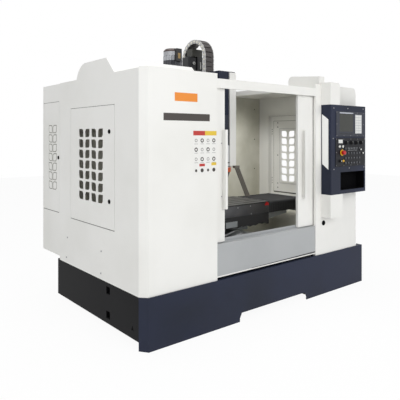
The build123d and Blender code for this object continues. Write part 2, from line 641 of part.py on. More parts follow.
def wall_left():
    """Left side wall with folded edges and the opening of its service door."""
    y0 = CORNER_Y + FRONT_SET + SEAT
    wall = block(LEFT, LEFT + SHEET, y0, SIDE_REAR, SKIRT_H + SEAT, WALL_TOP)
    wall += block(LEFT, LEFT + 40, SIDE_REAR - SHEET, SIDE_REAR, SKIRT_H + SEAT, WALL_TOP)
    wall += block(LEFT, LEFT + 40, y0, y0 + SHEET, SKIRT_H + SEAT, WALL_TOP)
    wall += block(LEFT, LEFT + 40, y0, SIDE_REAR, SKIRT_H + SEAT, SKIRT_H + SEAT + SHEET)
    wall -= block(LEFT - 1, LEFT + SHEET + 1, SIDE_Y0, SIDE_Y1, SIDE_Z0, SIDE_Z1)
    pin_y = SIDE_Y1 - SIDE_GAP - PIN_SET
    for z, sign in ((SIDE_Z0, 1), (SIDE_Z1, -1)):
        wall += block(LEFT, LEFT + 24, SIDE_Y0 - 24, SIDE_Y1 + 24, min(z, z - sign * SHEET), max(z, z - sign * SHEET))
        tip = z + sign * (SIDE_GAP + PIN_L)
        wall += disc_z(LEFT + PIN_SET, pin_y, PIN_R, min(z, tip), max(z, tip))
    for y in (SIDE_Y0 - 24, SIDE_Y1):
        wall += block(LEFT, LEFT + 24, y, y + 24, SIDE_Z0, SIDE_Z1) - block(
            LEFT - 1, LEFT + 25, y + SHEET, y + 24 - SHEET, SIDE_Z0 - 1, SIDE_Z1 + 1)
    return wall


def leaf(y, z, flip):
    """Outline of one vent: a rectangle with two opposite corners rounded."""
    w, h, r = VENT_W / 2, VENT_H / 2, VENT_R
    side = -1 if flip else 1
    start, corner, end = (side * (w - r), h), (side * w, h), (side * w, h - r)
    lines = Polyline(end, (side * w, -h), (side * (r - w), -h))
    lines += Polyline((-side * w, r - h), (-side * w, h), start)
    bend = r * (1 - 2 ** -0.5)
    lines += ThreePointArc(start, (corner[0] - side * bend, corner[1] - bend), end)
    lines += ThreePointArc((side * (r - w), -h), (side * (bend - w), bend - h), (-side * w, r - h))
    return Pos(y, z) * make_face(lines)


def side_door(inside, outside):
    """Service door: a shallow pan, pierced by rows of leaf-shaped vents."""
    y0, y1 = SIDE_Y0 + SIDE_GAP, SIDE_Y1 - SIDE_GAP
    z0, z1 = SIDE_Z0 + SIDE_GAP, SIDE_Z1 - SIDE_GAP
    door = block(outside, inside, y0, y1, z0, z1)
    door -= block(outside + SHEET / 2, inside + 1, y0 + SHEET, y1 - SHEET, z0 + SHEET, z1 - SHEET)
    pitch_y = (VENT_Y1 - VENT_Y0 - VENT_W) / (VENT_COLS - 1)
    pitch_z = (VENT_Z1 - VENT_Z0 - VENT_H) / (VENT_ROWS - 1)
    holes = Sketch()
    for col in range(VENT_COLS):
        for row in range(VENT_ROWS):
            holes += leaf(VENT_Y0 + VENT_W / 2 + col * pitch_y, VENT_Z0 + VENT_H / 2 + row * pitch_z, col % 2)
    door -= disc_z(outside + PIN_SET, y1 - PIN_SET, PIN_R + PIN_CLEARANCE, z0 - 1, z1 + 1)
    return door - extrude(Plane.YZ.offset(outside - 1) * holes, amount=SHEET + 2)


def side_door_left():
    return side_door(LEFT + SIDE_DOOR_T, LEFT)


def front_panel_left():
    """Left front panel with the cut-off corner folded back, and a return at the doorway."""
    y, t = FRONT_SET, SHEET
    outer = [(LEFT, y + CORNER_Y), (LEFT + CORNER_X, y), (DOORWAY_X0, y), (DOORWAY_X0, y + 24)]
    inner = [(DOORWAY_X0 - t, y + 24), (DOORWAY_X0 - t, y + t), (LEFT + CORNER_X + t * 0.6, y + t),
             (LEFT + t, y + CORNER_Y)]
    return prism_z(outer + inner, SKIRT_H + SEAT, FRONT_TOP)


def front_panel_right():
    """Right front panel, rounded at its top right corner."""
    y, t = FRONT_SET, SHEET
    face = block(DOORWAY_X1, RIGHT, y, y + t, SKIRT_H + SEAT, FRONT_TOP)
    face = fillet(face.edges().filter_by(Axis.Y).sort_by(Axis.Z)[-2:].sort_by(Axis.X)[-1:], 62)
    jamb = block(DOORWAY_X1, DOORWAY_X1 + t, y, y + 24, SKIRT_H + SEAT, FRONT_TOP)
    return face + jamb + block(RIGHT - t, RIGHT, y, CORNER_Y + y, SKIRT_H + SEAT, FRONT_TOP - 62)


def door_header():
    """Beam over the doorway, carrying the top track of the sliding doors."""
    y, t = FRONT_SET, SHEET
    x0, x1 = DOORWAY_X0 + SEAT, DOORWAY_X1 - SEAT
    face = block(x0, x1, y, y + t, HEADER_Z0, HEADER_Z1)
    lip = block(x0, x1, y, y + 22, HEADER_Z0, HEADER_Z0 + t)
    top = block(x0, x1, y, DOOR_Y + DOOR_T + 20, HEADER_Z1 - t, HEADER_Z1)
    wide0, wide1 = LEFT + CORNER_X + 30, RIGHT - 40
    track = block(wide0, wide1, DOOR_Y + 2, DOOR_Y + DOOR_T - 2, DOOR_TOP + 14, DOOR_TOP + 24)
    web = block(wide0, wide1, DOOR_Y + DOOR_T - 2, DOOR_Y + DOOR_T + 4, DOOR_TOP + 14, HEADER_Z1)
    return face + lip + top + track + web


def front_apron():
    """Apron under the doorway, set back a little, with the bottom track of the doors."""
    y, t = FRONT_SET + 6, SHEET
    x0, x1 = DOORWAY_X0 + SEAT, DOORWAY_X1 - SEAT
    face = block(x0, x1, y, y + t, APRON_BOTTOM, APRON_TOP - 4)
    top = block(x0, x1, y, DOOR_Y + DOOR_T + 26, APRON_TOP - 8, APRON_TOP - 4)
    foot = block(x0, x1, y, y + 20, APRON_BOTTOM, APRON_BOTTOM + t)
    track = block(LEFT + CORNER_X + 30, RIGHT - 40, DOOR_Y + 7, DOOR_Y + DOOR_T - 7, APRON_TOP - 4, APRON_TOP)
    guard = block(x0, x1, DOOR_Y + DOOR_T + 4, DOOR_Y + DOOR_T + 8, APRON_TOP - 60, APRON_TOP + 24)
    return face + top + foot + track + guard


def sliding_door(edge, sign, handle_x):
    """One sliding door: framed pan with a window opening, roller hangers and a Z handle."""
    x0, x1 = (edge - DOOR_W, edge) if sign > 0 else (edge, edge + DOOR_W)
    y0, y1 = DOOR_Y, DOOR_Y + DOOR_T
    door = block(x0, x1, y0, y1, DOOR_BOTTOM, DOOR_TOP)
    door -= block(x0 + 26, x1 - 26, y0 + SHEET, y1 + 1, DOOR_BOTTOM + 26, DOOR_TOP - 26)
    wx = window_x(edge, sign)
    rim = block(wx - 30, wx + WINDOW_W + 30, y0 + SHEET - 1, y1, WINDOW_Z0 - 30, WINDOW_Z1 + 30)
    hole = block(wx, wx + WINDOW_W, y0 - 1, y1 + 1, WINDOW_Z0, WINDOW_Z1)
    hole = fillet(hole.edges().filter_by(Axis.Y), WINDOW_R)
    door = door + rim - hole
    inner = edge - sign * PLATE_W
    plate = block(min(edge, inner), max(edge, inner), y0 - PLATE_T, y0 + 1, DOOR_BOTTOM, DOOR_TOP)
    upper = plate.edges().filter_by(Axis.Y).sort_by(Axis.Z)[-2:].sort_by(Axis.X)
    door += fillet(upper[:1] if sign > 0 else upper[-1:], PLATE_R)
    for x in (x0 + 80, x1 - 80):
        door += block(x - 25, x + 25, y0 - 8, y0, DOOR_TOP - 40, DOOR_TOP + 30)
        door += disc_y(x, DOOR_TOP + 24 + ROLLER_R + SEAT, ROLLER_R, y0 - 8, y1 - 4)
    h0, h1 = handle_x, handle_x + HANDLE_W
    out = y0 - HANDLE_OUT
    t = HANDLE_T
    z_bar = [(h0, y0), (h0, y0 - t), (h0 + 14, y0 - t), (h0 + 14, out), (h1, out), (h1, out + t),
             (h0 + 14 + t, out + t), (h0 + 14 + t, y0)]
    if sign < 0:
        z_bar = [(h0 + h1 - x, y) for x, y in z_bar]
    return door + prism_z(z_bar, HANDLE_Z0, HANDLE_Z1)


def window_x(edge, sign):
    return edge - WINDOW_SET - WINDOW_W if sign > 0 else edge + WINDOW_SET


def door_pane(edge, sign):
    """Laminated pane behind the window opening."""
    wx = window_x(edge, sign)
    y = DOOR_Y + DOOR_T
    return block(wx - 22, wx + WINDOW_W + 22, y, y + PANE_T, WINDOW_Z0 - 22, WINDOW_Z1 + 22)


def roof_sheets():
    """Two flat roof sheets that leave the middle open for the head, each cut out under its hood."""
    z0, z1 = ROOF_Z - SHEET, ROOF_Z
    y0, y1 = DOOR_Y + DOOR_T + 24, REAR_WALL_Y
    left = block(LEFT + SHEET + SEAT, ROOF_OPEN_X0, y0, y1, z0, z1)
    left += block(ROOF_OPEN_X0 - SHEET, ROOF_OPEN_X0, y0, y1, z0 - 40, z1)
    right = block(ROOF_OPEN_X1, RIGHT - SHEET - SEAT, y0, y1, z0, z1)
    right += block(ROOF_OPEN_X1, ROOF_OPEN_X1 + SHEET, y0, y1, z0 - 40, z1)
    left -= block(HOOD_X0 + HOOD_LIP, HOOD_X1 - HOOD_LIP, HOOD_FOOT + HOOD_LIP, HOOD_REAR - HOOD_LIP, z0 - 1, z1 + 1)
    lip = RACEWAY_LIP
    right -= block(RACEWAY_X0 + lip, RACEWAY_X0 + RACEWAY_W - lip, y0 + lip, RACEWAY_REAR - lip, z0 - 1, z1 + 1)
    return [left, right]


def housing(x0, x1, foot, crest, rear, crest_top, top, run, drop):
    """Folded housing on the roof: upright or sloping front, rounded upper rear edge, open underneath."""
    z0 = ROOF_Z + SEAT
    dx, dz = crest - foot, crest_top - z0

    def outline(inset):
        lean = inset * (dx ** 2 + dz ** 2) ** 0.5 / dz
        back, high = rear - inset, top - inset
        start, end = (back - run, high), (back, high - drop)
        bend = (back - run / 2 + HOUSING_BEND * drop, high - drop / 2 + HOUSING_BEND * run)
        lines = Polyline(end, (back, z0), (foot + lean, z0), (crest + lean - inset * dx / dz, crest_top - inset), start)
        lines += ThreePointArc(start, bend, end)
        return make_face(lines)

    outer = extrude(Plane.YZ.offset(x0) * outline(0), amount=x1 - x0)
    return outer - extrude(Plane.YZ.offset(x0 + SHEET) * outline(SHEET), amount=x1 - x0 - 2 * SHEET)


def roof_hoods():
    """Wide hood over the magazine, and a narrow cable raceway from the station's duct to the back."""
    wide = housing(HOOD_X0, HOOD_X1, HOOD_FOOT, HOOD_CREST, HOOD_REAR, HOOD_TOP, HOOD_TOP, HOOD_RUN, HOOD_DROP)
    front = FRONT_SET + SHEET + SEAT
    narrow = housing(RACEWAY_X0, RACEWAY_X0 + RACEWAY_W, front, front, RACEWAY_REAR, RACEWAY_FRONT_TOP, RACEWAY_TOP,
                     RACEWAY_RUN, RACEWAY_RUN)
    return [wide, narrow]


def rear_walls():
    """Rear splash walls between the column and the side walls."""
    z0, step = SKIRT_H + 40, BED_TOP - BED_EDGE + SEAT
    beside_bed, beside_column = MID - BED_HALF_W - SEAT, MID - COLUMN_HALF_W - SEAT
    outline = [(LEFT + SHEET + SEAT, z0), (beside_bed, z0), (beside_bed, step), (beside_column, step),
               (beside_column, ROOF_Z), (LEFT + SHEET + SEAT, ROOF_Z)]
    left = prism_y(outline, REAR_WALL_Y + SEAT, REAR_WALL_Y + SHEET)
    return [left, mirrored(left)]


def chip_pan():
    """Sloping floor sheets on both sides of the bed, with the front gutter between them."""
    y0, y1 = DOOR_Y + DOOR_T + 30, REAR_WALL_Y - SEAT
    inner, outer = MID + BED_HALF_W + SEAT, RIGHT - SHEET - SEAT
    t = SHEET
    low, high, lip = BED_TOP - PAN_FALL, PAN_OUTER, PAN_OUTER + PAN_LIP
    right = prism_y([(inner, low), (outer, high), (outer, lip), (outer - t, lip), (outer - t, high + t),
                     (inner, low + t)], y0, y1)
    front, rim, deep = BED_FRONT - SEAT, BED_TOP - BED_EDGE - 2, BED_STEP + 80
    gutter = prism_x([(y0, deep), (front, deep), (front, deep + t), (y0 + t, deep + t), (y0 + t, rim), (y0, rim)],
                     MID - BED_HALF_W - SEAT, inner)
    return mirrored(right) + gutter + right


# Operator station

def operator_box():
    """Navy housing on the right front: folded shell, open pocket below the keys, white side inlay seat."""
    y1 = FRONT_SET - SEAT
    shell = block(STATION_X0, STATION_X1, STATION_FRONT, y1, STATION_Z0, STATION_Z1)
    shell = chamfer(shell.edges().filter_by(Axis.Z).sort_by(Axis.Y)[:2], 5)
    s = STATION_SHEET
    shell -= block(STATION_X0 + s, STATION_X1 - s, STATION_FRONT + s, y1 + 1, STATION_Z0 + s, STATION_Z1 - s)
    shell += block(POCKET_X0 - s, POCKET_X1 + s, STATION_FRONT, STATION_FRONT + POCKET_D + s,
                   POCKET_Z0 - s, POCKET_Z1 + s)
    shell -= block(POCKET_X0, POCKET_X1, STATION_FRONT - 1, STATION_FRONT + POCKET_D, POCKET_Z0, POCKET_Z1)
    shell -= block(FASCIA_X0 + 12, FASCIA_X1 - 12, STATION_FRONT - 1, STATION_FRONT + s + 1,
                   FASCIA_Z0 + 12, FASCIA_Z1 - 12)
    shell -= block(DISPLAY_X0 + 12, DISPLAY_X1 - 12, STATION_FRONT - 1, STATION_FRONT + s + 1,
                   DISPLAY_Z0 + 12, DISPLAY_Z1 - 12)
    rear, low, high = FRONT_SET - 5, INLAY_Z0, INLAY_Z0 + INLAY_H
    inlay = [(rear, low + INLAY_RISE), (rear, high + INLAY_RISE), (INLAY_FRONT, high), (INLAY_FRONT, low)]
    return shell - prism_x(inlay, STATION_X0 - 1, STATION_X0 + 2)


def fascia_hole(x, z, r):
    return disc_y(x, z, r, STATION_FRONT - FASCIA_T - 6, STATION_FRONT + 1)


def operator_fascia():
    """Lower panel of the station: key field, status window and holes for its controls."""
    y0, y1 = STATION_FRONT - FASCIA_T, STATION_FRONT - SEAT
    panel = block(FASCIA_X0, FASCIA_X1, y0, y1, FASCIA_Z0, FASCIA_Z1)
    panel = chamfer(panel.faces().sort_by(Axis.Y)[0].edges(), 2)
    for x in KNOB_X:
        panel -= fascia_hole(x, KNOB_Z, STEM_R + STEM_CLEARANCE)
    for x, z in BUTTONS.values():
        panel -= fascia_hole(x, z, BUTTON_R + BUTTON_GAP)
    panel -= fascia_hole(SELECTOR_X, SELECTOR_Z, STEM_R + STEM_CLEARANCE)
    panel += block(FASCIA_X0 + 39, FASCIA_X0 + 104, y0 - 3, y0 + 1, FASCIA_Z1 - 47, FASCIA_Z1 - 14)
    for col in range(6):
        for row in range(4):
            x, z = KEY_X0 + col * KEY_PITCH, KEY_Z1 - row * KEY_PITCH
            panel += block(x - 16, x + 16, y0 - 2.5, y0 + 1, z - 13, z + 13)
    panel += disc_y(STOP_X, STOP_Z, 31, y0 - 5, y0 + 1)
    return panel - fascia_hole(STOP_X, STOP_Z, STOP_STEM_R + STEM_CLEARANCE)


def display_unit():
    """Display bezel with a sunken screen seat and a raised keypad block beside it."""
    y0, y1 = STATION_FRONT - FASCIA_T, STATION_FRONT - SEAT
    unit = block(DISPLAY_X0, DISPLAY_X1, y0, y1, DISPLAY_Z0, DISPLAY_Z1)
    unit = chamfer(unit.faces().sort_by(Axis.Y)[0].edges(), 2)
    unit -= block(SCREEN_X0, SCREEN_X1, y0 - 1, y0 + 3.2, SCREEN_Z0, SCREEN_Z1)
    for col in range(4):
        for row in range(7):
            x, z = PAD_X0 + col * PAD_PITCH_X, DISPLAY_Z0 + 34 + row * PAD_PITCH_Z
            unit += block(x - 12, x + 12, y0 - 2, y0 + 1, z - 11, z + 11)
    return unit


def display_screen():
    y0 = STATION_FRONT - FASCIA_T
    return block(SCREEN_X0 + SEAT, SCREEN_X1 - SEAT, y0 + 0.6, y0 + 3.2, SCREEN_Z0 + SEAT, SCREEN_Z1 - SEAT)


def knob(x, z, r, h):
    """Turned knob with a flat-sided grip and a stem through the panel."""
    y0 = STATION_FRONT - FASCIA_T - 1
    body = disc_y(x, z, r, y0 - 8, y0)
    grip = block(x - 4.5, x + 4.5, y0 - h, y0 - 7, z - r + 2, z + r - 2)
    return body + grip + disc_y(x, z, STEM_R, y0 - 1, y0 + FASCIA_T + 8)


def push_button(x, z, r, h, back):
    """Round cap on a stem, proud of the panel by its height."""
    y0 = STATION_FRONT - FASCIA_T
    cap = disc_y(x, z, r, y0 - h, y0 + back)
    return chamfer(cap.faces().sort_by(Axis.Y)[0].edges(), 1.5)


def emergency_stop():
    """Mushroom head, turned in one piece with its stem."""
    y0 = STATION_FRONT - FASCIA_T - 5
    head = disc_y(STOP_X, STOP_Z, STOP_R, y0 - STOP_H, y0 - STOP_TRAVEL - 1)
    head = chamfer(head.faces().sort_by(Axis.Y)[0].edges(), 6)
    return head + disc_y(STOP_X, STOP_Z, STOP_STEM_R, y0 - STOP_TRAVEL - 2, y0 + FASCIA_T + 10)


def duct_covers():
    """White cable ducts above and below the operator box."""
    y1 = FRONT_SET - SEAT
    x0, y0 = STATION_X0 - 4, STATION_FRONT + 2
    upper = block(x0, x0 + UPPER_DUCT_W, y0, y1, STATION_Z1 + SEAT, DUCT_TOP)
    upper = fillet(upper.edges().filter_by(Axis.Y).sort_by(Axis.Z)[-2:].sort_by(Axis.X)[-1:], DUCT_R)
    lower = block(x0, x0 + LOWER_DUCT_W, y0, y1, DUCT_BOTTOM, STATION_Z0 - SEAT)
    return [upper, lower]


# Tool magazine and cable chain

def changer_box():
    """Gear case of the tool changer on the column's left side, with the arm that holds the magazine."""
    x, y, h = CHANGER_X, CHANGER_Y, CHANGER_HALF
    case = block(x - h, x + h, y - h, y + h, CHANGER_Z0, CHANGER_Z1)
    case = chamfer(case.edges().filter_by(Axis.Z), 14)
    foot = block(x - h + 20, MID - COLUMN_HALF_W + 30, y + h - 1, COLUMN_FRONT - SEAT, CHANGER_Z0 + 30, CHANGER_Z1 - 40)
    beam = block(MAGAZINE_X + 44, x - h + 1, y - h + 20, y + h - 20, MAGAZINE_Z - 50, MAGAZINE_Z + 50)
    arm = block(MAGAZINE_X + 44, MAGAZINE_X + 64, MAGAZINE_Y - 50, y + h - 20, MAGAZINE_Z - 50, MAGAZINE_Z + 50)
    axle = disc_x(MAGAZINE_Y, MAGAZINE_Z, 28, MAGAZINE_X - 14, MAGAZINE_X + 45)
    return case + foot + beam + arm + axle


def changer_motor():
    """Geared motor on top of the changer, with upright cooling fins and a fan cowl."""
    x, y = CHANGER_X, CHANGER_Y
    r = CHANGER_MOTOR_R
    z0, z1 = CHANGER_Z1 + SEAT, CHANGER_MOTOR_TOP
    points = []
    for i in range(2 * FIN_N):
        a = pi * i / FIN_N
        reach = r if i % 2 else r - 9
        points.append((x + reach * cos(a), y + reach * sin(a)))
    barrel = prism_z(points, z0 + 60, z1 - 70)
    base = disc_z(x, y, r - 12, z0, z0 + 60)
    cowl = disc_z(x, y, r - 2, z1 - 70, z1)
    cowl = chamfer(cowl.edges().group_by(Axis.Z)[-1], 18)
    return base + barrel + cowl


def magazine_disc():
    """Tool magazine: a disc with tool pots standing round its rim."""
    disc = disc_x(MAGAZINE_Y, MAGAZINE_Z, MAGAZINE_R, MAGAZINE_X, MAGAZINE_X + 14)
    disc -= disc_x(MAGAZINE_Y, MAGAZINE_Z, 28 + 0.06, MAGAZINE_X - 1, MAGAZINE_X + 15)
    pots = []
    for i in range(POT_N):
        a = 2 * pi * i / POT_N
        y = MAGAZINE_Y + (MAGAZINE_R - POT_R - 4) * cos(a)
        z = MAGAZINE_Z + (MAGAZINE_R - POT_R - 4) * sin(a)
        pot = disc_x(y, z, POT_R, MAGAZINE_X - POT_L, MAGAZINE_X + 1)
        pots.append(pot - disc_x(y, z, POT_BORE, MAGAZINE_X - POT_L - 1, MAGAZINE_X - 20))
    return disc + pots


def chain_place(distance):
    """Where the chain's middle line is, and how far it has turned, at a distance from its front foot."""
    outer = (CHAIN_REAR - CHAIN_FRONT) / 2
    r, y, z = outer - CHAIN_H / 2, (CHAIN_FRONT + CHAIN_REAR) / 2, CHAIN_TOP - outer
    rise = z - (HEAD_TOP + CHAIN_FOOT + SEAT)
    if distance < rise:
        return y - r, z - rise + distance, 0.0
    turn = (distance - rise) / r
    if turn < pi:
        return y - r * cos(turn), z + r * sin(turn), turn
    return y + r, z - (distance - rise - pi * r), pi


def cable_chain():
    """Cable chain arching from the column over to the head: two side plates joined by slats."""
    x0, x1 = CHAIN_X0, CHAIN_X0 + CHAIN_W
    outer = (CHAIN_REAR - CHAIN_FRONT) / 2
    inner = outer - CHAIN_H
    y, z = (CHAIN_FRONT + CHAIN_REAR) / 2, CHAIN_TOP - outer
    front_foot, rear_foot = HEAD_TOP + CHAIN_FOOT + SEAT, COLUMN_TOP + SEAT

    def side_plate(a, b):
        arch = disc_x(y, z, outer, a, b) - disc_x(y, z, inner, a - 1, b + 1)
        arch -= block(a - 1, b + 1, CHAIN_FRONT - 1, CHAIN_REAR + 1, z - outer - 1, z)
        front = block(a, b, CHAIN_FRONT, CHAIN_FRONT + CHAIN_H, front_foot, z + 1)
        return arch + front + block(a, b, CHAIN_REAR - CHAIN_H, CHAIN_REAR, rear_foot, z + 1)

    length = (z - front_foot) + pi * (outer - CHAIN_H / 2) + (z - rear_foot)
    links = round(length / CHAIN_PITCH)
    chain = side_plate(x0, x0 + CHAIN_PLATE) + side_plate(x1 - CHAIN_PLATE, x1)
    reach = CHAIN_H / 2 - 2 * CHAIN_SLAT
    for i in range(links):
        y_mid, z_mid, turn = chain_place((i + 0.5) * length / links)
        for side in (-reach, reach):
            slat = Pos(0, side, 0) * Box(CHAIN_W - CHAIN_PLATE, CHAIN_SLAT, CHAIN_PITCH * 0.7)
            chain += Pos((x0 + x1) / 2, y_mid, z_mid) * Rot(-turn * 180 / pi, 0, 0) * slat
    return chain


# Electrical cabinet

def cabinet_shell():
    """Folded cabinet behind the left wall, open at its left end for the door."""
    y0, s = SIDE_REAR + SEAT, 3.0
    shell = block(LEFT, CABINET_X1, y0, CABINET_REAR, CABINET_Z0, CABINET_Z1)
    shell -= block(LEFT + s, CABINET_X1 - s, y0 + s, CABINET_REAR - s, CABINET_Z0 + s, CABINET_Z1 - s)
    frame0, frame1 = y0 + CABINET_FRAME, CABINET_REAR - CABINET_FRAME
    shell -= block(LEFT - 1, LEFT + s + 1, frame0, frame1, CABINET_DOOR_Z0, CABINET_DOOR_Z1)
    pin_y = frame1 - SIDE_GAP - PIN_SET
    for z, sign in ((CABINET_DOOR_Z0, 1), (CABINET_DOOR_Z1, -1)):
        shell += block(LEFT, LEFT + 22, frame0, frame1, min(z, z - sign * s), max(z, z - sign * s))
        tip = z + sign * (2 + PIN_L)
        shell += disc_z(LEFT + PIN_SET, pin_y, PIN_R, min(z, tip), max(z, tip))
    return shell


def drive_modules():
    """Mounting plate with a row of drive modules, a transformer and a contactor rail."""
    x0, x1 = LEFT + 60, CABINET_X1 - 60
    y1 = CABINET_REAR - 3.0 - SEAT
    plate = block(x0, x1, y1 - 8, y1, CABINET_Z0 + 60, CABINET_Z1 - 60)
    pitch = (x1 - x0 - 120) / MODULE_N
    for i in range(MODULE_N):
        x = x0 + 60 + i * pitch
        plate += block(x, x + 0.7 * pitch, y1 - 168, y1 - 7, 1300, 1680)
    plate += block(x0 + 60, x0 + 280, y1 - 148, y1 - 7, 560, 780)
    plate += block(x0 + 60, x1 - 160, y1 - 88, y1 - 7, 960, 1050)
    return plate


def cabinet_door():
    """Left end door of the cabinet, with two columns of shallow leaf-shaped pressings."""
    y0, y1 = SIDE_REAR + SEAT + CABINET_FRAME + 2, CABINET_REAR - CABINET_FRAME - SIDE_GAP
    z0, z1 = CABINET_DOOR_Z0 + 2, CABINET_DOOR_Z1 - 2
    door = block(LEFT, LEFT + 16, y0, y1, z0, z1)
    door -= block(LEFT + 2, LEFT + 17, y0 + 2, y1 - 2, z0 + 2, z1 - 2)
    middle_y, middle_z = (y0 + y1) / 2 - 13, (z0 + z1) / 2
    pressings = Sketch()
    for col in range(RECESS_COLS):
        for row in range(RECESS_ROWS):
            y = middle_y + (col - (RECESS_COLS - 1) / 2) * RECESS_PITCH_Y
            pressings += leaf(y, middle_z + (row - (RECESS_ROWS - 1) / 2) * RECESS_PITCH_Z, col % 2)
    door -= extrude(Plane.YZ.offset(LEFT - 1) * pressings, amount=1 + RECESS_DEPTH)
    return door - disc_z(LEFT + PIN_SET, y1 - PIN_SET, PIN_R + PIN_CLEARANCE, z0 - 1, z1 + 1)


LEFT_DOOR = sliding_door(LEFT_DOOR_EDGE, 1, LEFT_HANDLE_X)
RIGHT_DOOR = sliding_door(RIGHT_DOOR_EDGE, -1, RIGHT_HANDLE_X)

nodes = {
    "front_skirt": front_skirt(),
    "coolant_tank": coolant_tank(),
    "base_side_covers": base_side_covers(),
    "levelling_feet": levelling_feet(),
    "bed_casting": bed_casting(),
    "column_casting": column_casting(),
    "guide_rails": guide_rails(),
    "z_drive": z_drive(),
    "chip_pan": chip_pan(),
    "front_panel_left": front_panel_left(),
    "front_panel_right": front_panel_right(),
    "door_header": door_header(),
    "front_apron": front_apron(),
    "wall_left": wall_left(),
    "wall_right": mirrored(wall_left()),
    "rear_walls": rear_walls(),
    "roof_sheets": roof_sheets(),
    "roof_hoods": roof_hoods(),
    "duct_covers": duct_covers(),
    "operator_box": operator_box(),
    "operator_fascia": operator_fascia(),
    "display_unit": display_unit(),
    "display_screen": display_screen(),
    "changer_box": changer_box(),
    "changer_motor": changer_motor(),
    "cable_chain": cable_chain(),
    "cabinet_shell": cabinet_shell(),
    "drive_modules": drive_modules(),
    "way_cover_front": way_cover_plate(0),
    "saddle_casting": saddle_casting(),
    "x_rails": x_rails(),
    "way_cover_saddle": way_cover_plate(COVER_N),
    "work_table": work_table(),
    "x_bellows": x_bellows(),
    "head_casting": head_casting(),
    "head_cover": head_cover(),
    "motor_cover": motor_cover(),
    "spindle_cartridge": spindle_cartridge(),
    "wash_pipes": wash_pipes(),
    "spindle_nose": spindle_nose(),
    "door_left": LEFT_DOOR,
    "door_right": RIGHT_DOOR,
    "door_left_window": door_pane(LEFT_DOOR_EDGE, 1),
    "door_right_window": door_pane(RIGHT_DOOR_EDGE, -1),
    "side_door_left": side_door_left(),
    "side_door_right": mirrored(side_door_left()),
    "cabinet_door": cabinet_door(),
    "magazine_disc": magazine_disc(),
    "emergency_stop": emergency_stop(),
    "mode_selector": knob(SELECTOR_X, SELECTOR_Z, 14, 16),
}
for step in range(1, COVER_N):
    nodes[f"way_cover_{step}"] = way_cover_plate(step)
for number, x in enumerate(KNOB_X, 1):
    nodes[f"override_knob_{number}"] = knob(x, KNOB_Z, KNOB_R, KNOB_H)
for name, (x, z) in BUTTONS.items():
    nodes[name] = push_button(x, z, BUTTON_R, BUTTON_H, 4)


def as_shape(part):
    """One shape from a part or from a list of separate solids."""
    if isinstance(part, list):
        return Compound([solid for piece in part for solid in piece.solids()])
    return part


shapes = {name: as_shape(part) for name, part in nodes.items()}
boxes = [shape.bounding_box() for shape in shapes.values()]
middle_x = (min(box.min.X for box in boxes) + max(box.max.X for box in boxes)) / 2
middle_y = (min(box.min.Y for box in boxes) + max(box.max.Y for box in boxes)) / 2
print("centring shift", round(-middle_x, 3), round(-middle_y, 3))

os.makedirs("parts", exist_ok=True)
for name, shape in shapes.items():
    export_step(Pos(-middle_x, -middle_y, 0) * shape, f"parts/{name}.step")
print(len(shapes), "nodes written")
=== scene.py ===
# %% [markdown]
# A machining centre in its enclosure: a milling spindle on a column, a table that moves under it, and
# a sheet-metal cabin round both. The rigid parts come from the CAD frame, so this lesson dresses them:
# it gives each finish a material, and adds what the frame leaves plain, such as the folded bellows,
# the links of the cable chain, screws, keys and the coloured chart by the door.

# %% Load the frame
from math import cos, pi, radians, sin

import bpy
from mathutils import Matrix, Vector


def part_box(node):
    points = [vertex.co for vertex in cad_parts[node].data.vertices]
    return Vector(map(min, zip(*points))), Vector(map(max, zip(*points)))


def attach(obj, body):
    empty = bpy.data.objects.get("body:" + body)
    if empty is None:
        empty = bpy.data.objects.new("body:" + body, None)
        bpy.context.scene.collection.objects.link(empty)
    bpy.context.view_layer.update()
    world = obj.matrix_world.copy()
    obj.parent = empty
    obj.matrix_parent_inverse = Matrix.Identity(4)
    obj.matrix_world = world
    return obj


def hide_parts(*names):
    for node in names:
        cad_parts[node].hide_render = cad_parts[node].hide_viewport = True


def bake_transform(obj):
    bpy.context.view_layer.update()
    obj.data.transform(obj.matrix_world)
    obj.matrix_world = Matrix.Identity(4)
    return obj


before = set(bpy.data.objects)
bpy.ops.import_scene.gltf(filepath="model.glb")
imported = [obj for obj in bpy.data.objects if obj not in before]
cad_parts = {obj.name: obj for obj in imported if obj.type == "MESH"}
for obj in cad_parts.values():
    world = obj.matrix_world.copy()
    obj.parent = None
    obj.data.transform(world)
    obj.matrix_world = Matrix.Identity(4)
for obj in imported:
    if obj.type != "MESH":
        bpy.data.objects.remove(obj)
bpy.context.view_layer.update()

# %% [markdown]
# The machine was drawn in millimetres with its front skirt at depth zero. Blender wants metres with the
# middle of the footprint at the origin, so one function turns a drawing point into a scene point.

# %% Drawing millimetres to scene metres
DEPTH_SHIFT = 815.0


def at(x, y, z):
    return Vector((x / 1000, (y - DEPTH_SHIFT) / 1000, z / 1000))


def drawn_box(node):
    low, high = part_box(node)
    shift = (0.0, DEPTH_SHIFT, 0.0)
    return [(low[i] * 1000 + shift[i], high[i] * 1000 + shift[i]) for i in range(3)]


LEFT, RIGHT = drawn_box("wall_left")[0][0], drawn_box("wall_right")[0][1]
print("side walls at:", round(LEFT, 1), round(RIGHT, 1))

# %% [markdown]
# The camera stands left of the machine at eye height and looks level, as a person with a phone would.
# Because it is level, upright edges stay upright, and a small vertical shift frames the machine.

# %% Camera
camera = bpy.data.objects.new("camera", bpy.data.cameras.new("camera"))
bpy.context.scene.collection.objects.link(camera)
camera.location = (-3.109, -3.597, 1.4863)
camera.rotation_euler = (radians(90), 0, radians(-39.377))
camera.data.sensor_width = 36
camera.data.lens = 43.506
camera.data.shift_y = -0.16025
camera.data.clip_end = 100
bpy.context.scene.camera = camera
print("camera height, m:", round(camera.location.z, 2), "lens, mm:", round(camera.data.lens, 1))

